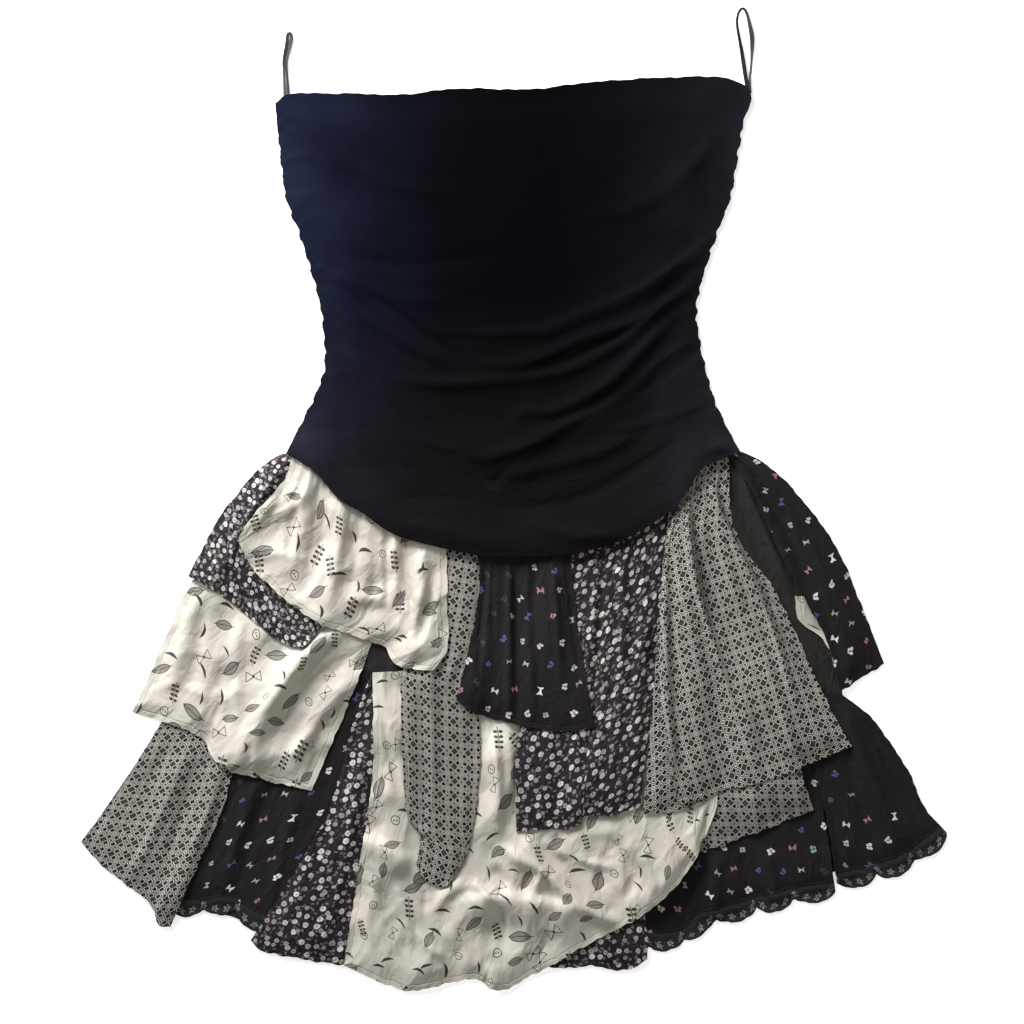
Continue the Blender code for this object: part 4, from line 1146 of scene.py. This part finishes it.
def panel_grid(panel):
    """A panel's places. Its edges and its hem waver a little."""
    hem_line = places(panel.hem)
    top = stretch(panel.seam, panel.start, panel.end)
    if panel.seam is WAIST:
        top[:, 1] += TUCK * np.clip((181 - np.abs(top[:, 0])) / 20, 0, 1)  # none at the side seams, where it would show
    columns = max(8, int(max(length_of(hem_line), length_of(top)) / ACROSS))
    top, hem = spaced(top, columns), spaced(hem_line, columns)
    middle = np.linalg.norm(hem.mean(0) - top.mean(0))
    left_edge, right_edge = places(panel.left_edge), places(panel.right_edge)
    left_length = length_of((tuple(top[0]), *left_edge, tuple(hem[0])))
    rows = np.linspace(0, 1, int(max(middle, left_length) / DOWN) + 1)
    left, right = edge(top[0], left_edge, hem[0], rows), edge(top[-1], right_edge, hem[-1], rows)
    seed = seed_of(panel.name)
    ends = smooth_step(np.minimum(rows, 1 - rows) * 6)
    for side, shift in ((left, 0), (right, 50)):
        side[:, 0] += 0.6 * waver(rows * middle, 27.0, seed + shift) * ends
    share = np.linspace(0, 1, columns + 1)
    ends = smooth_step(np.minimum(share, 1 - share) * 8)
    hem[:, 1] += 0.8 * waver(share * length_of(hem_line), 23.0, seed + 7) * ends
    return patch(top, hem, left, right, rows)


def ease_over(top, floor_height, times=3):
    """Evens a sheet where it steps over an edge, without letting it sink into what is beneath."""
    top = np.maximum(top, floor_height)
    for _ in range(times):
        top = np.maximum(floor_height, 0.35 * top + 0.65 * soften(top, (1, 1)))
    return top


def lace_edging(panel, grid):
    """A scalloped edging sewn along part of a panel's hem."""
    name, start, end = LACED[panel.name]
    first, last = (round(part * (grid.shape[1] - 1)) for part in (start, end))
    line = grid[-1, first:last + 1]
    along = distances(line)
    at = np.linspace(0, along[-1], int(along[-1] / 1.3) + 1)
    line = read_at(at, along, line)
    ahead = np.gradient(line, axis=0)
    for _ in range(6):
        ahead[1:-1] = (ahead[:-2] + ahead[1:-1] + ahead[2:]) / 3
    scallops = max(1, round(along[-1] / SCALLOP))
    arch = np.abs(np.sin(math.pi * scallops * at / along[-1])) ** 0.7
    reach = LACE_WIDTH - LACE_DIP * (1 - arch)
    share = np.linspace(0, 1, 11)[:, None]
    lace = line[None] + outward_of(ahead)[None] * (-LACE_LAP + share * (reach + LACE_LAP))[..., None]
    gaps = edge_gaps(lace)
    corded = 0.35 * np.exp(-((gaps.hem - 0.7) / 0.7) ** 2)
    floor_height = beneath(lace) + CLEAR + CLOTHS["lace"].wall
    high = ease_over(floor_height + 0.2 * share, floor_height)
    high = np.maximum(high + corded + 0.25 * waver(at, 17.0, 3)[None, :] * share, floor_height)
    piece = make_sheet(name, "lace", lace, high, gaps)[0]
    lay_down(lace, high)
    print(name, "scallops:", scallops)
    return piece


for panel in PANELS:
    grid = panel_grid(panel)
    gaps = edge_gaps(grid)
    rest, floor_height = settled(panel.name, panel.cloth, grid, gaps)
    calm = smooth_step(np.minimum(gaps.seam, 40) / 40)
    top = ease_over(rest + slack(gaps, 0.45, 30.0, seed_of(panel.name) + 1) * calm, floor_height)
    top = ease_over(top + creased(panel.name, grid) + pleated(panel, gaps), floor_height, 1)
    under = "skirt_back" if panel.name == "yoke_front" else "yoke_front"
    keep(panel.name, panel.cloth, grid, top, gaps, "gathered" if panel.pleats > 5 else "laid", [under])
    if panel.name in LACED:
        sheets[panel.name]["with_pieces"].append(lace_edging(panel, grid))

# %% [markdown]
# ## The bodice
# The jersey front is drawn up along both side seams, so folds sweep across it from the right seam and short puckers
# stand beside the stitches. The sweeping folds are in the crease table. The puckers are short, so they are drawn at
# random from a fixed seed, each a small ridge that starts at the seam and runs inwards.

# %% Bodice front
AIR = 2.4  # millimetres between the front and the back, away from the seams
front = bodice_grid(WAIST, 188, 144)
gaps = edge_gaps(front)
rest, floor_height = settled("bodice_front", "jersey", front, gaps, droop=9.0, lifted=0.35, reach=(4, 4))
draw = np.random.RandomState(31)
puckers = np.zeros(front.shape[:2])
for inward, count, longer in ((gaps.left, 46, 1.0), (gaps.right, 50, 1.15)):
    for k in range(count):
        at = (k + draw.uniform(0.1, 0.9)) / count * gaps.seam.max()
        tilt, half = draw.normal(0, 0.28), draw.uniform(1.6, 3.4)
        long, high = draw.uniform(10, 46) * longer, draw.uniform(0.5, 1.4)
        away = (gaps.seam - at - tilt * inward) / (half * (1 + inward / 40))
        puckers = np.maximum(puckers, high * hump(np.abs(away)) * np.clip(1 - inward / long, 0, 1) ** 1.2)
neck_roll = 0.5 * np.exp(-((gaps.seam - 2.2) / 2.4) ** 2)
full = AIR * smooth_step(np.minimum(gaps.left, gaps.right) / 40) * smooth_step(gaps.seam / 30)
top = ease_over(rest + full + slack(gaps, 0.4, 52.0, 12), floor_height)
top = ease_over(top + creased("bodice_front", front) + puckers + neck_roll, floor_height, 1)
keep("bodice_front", "jersey", front, top, gaps, "gathered", ["bodice_back", "yoke_front"], gaps.seam)
sheets["bodice_front"]["with_pieces"] += loops

# %% [markdown]
# ## The sheets' sizes
# Every sheet keeps its flat size, how it is held and what it lies on. The size is measured along its folds: the longest
# row across, the longest column down and the sheet's own area. Here each size is only rounded.

# %% Sheets
for facts in sheets.values():
    wide, long = (round(measure, 3) for measure in facts["flat"])
print("sheets:", len(sheets))

# %% Sizes and end
print("faces in all:", sum(len(facts["piece"].data.polygons) for facts in sheets.values()))
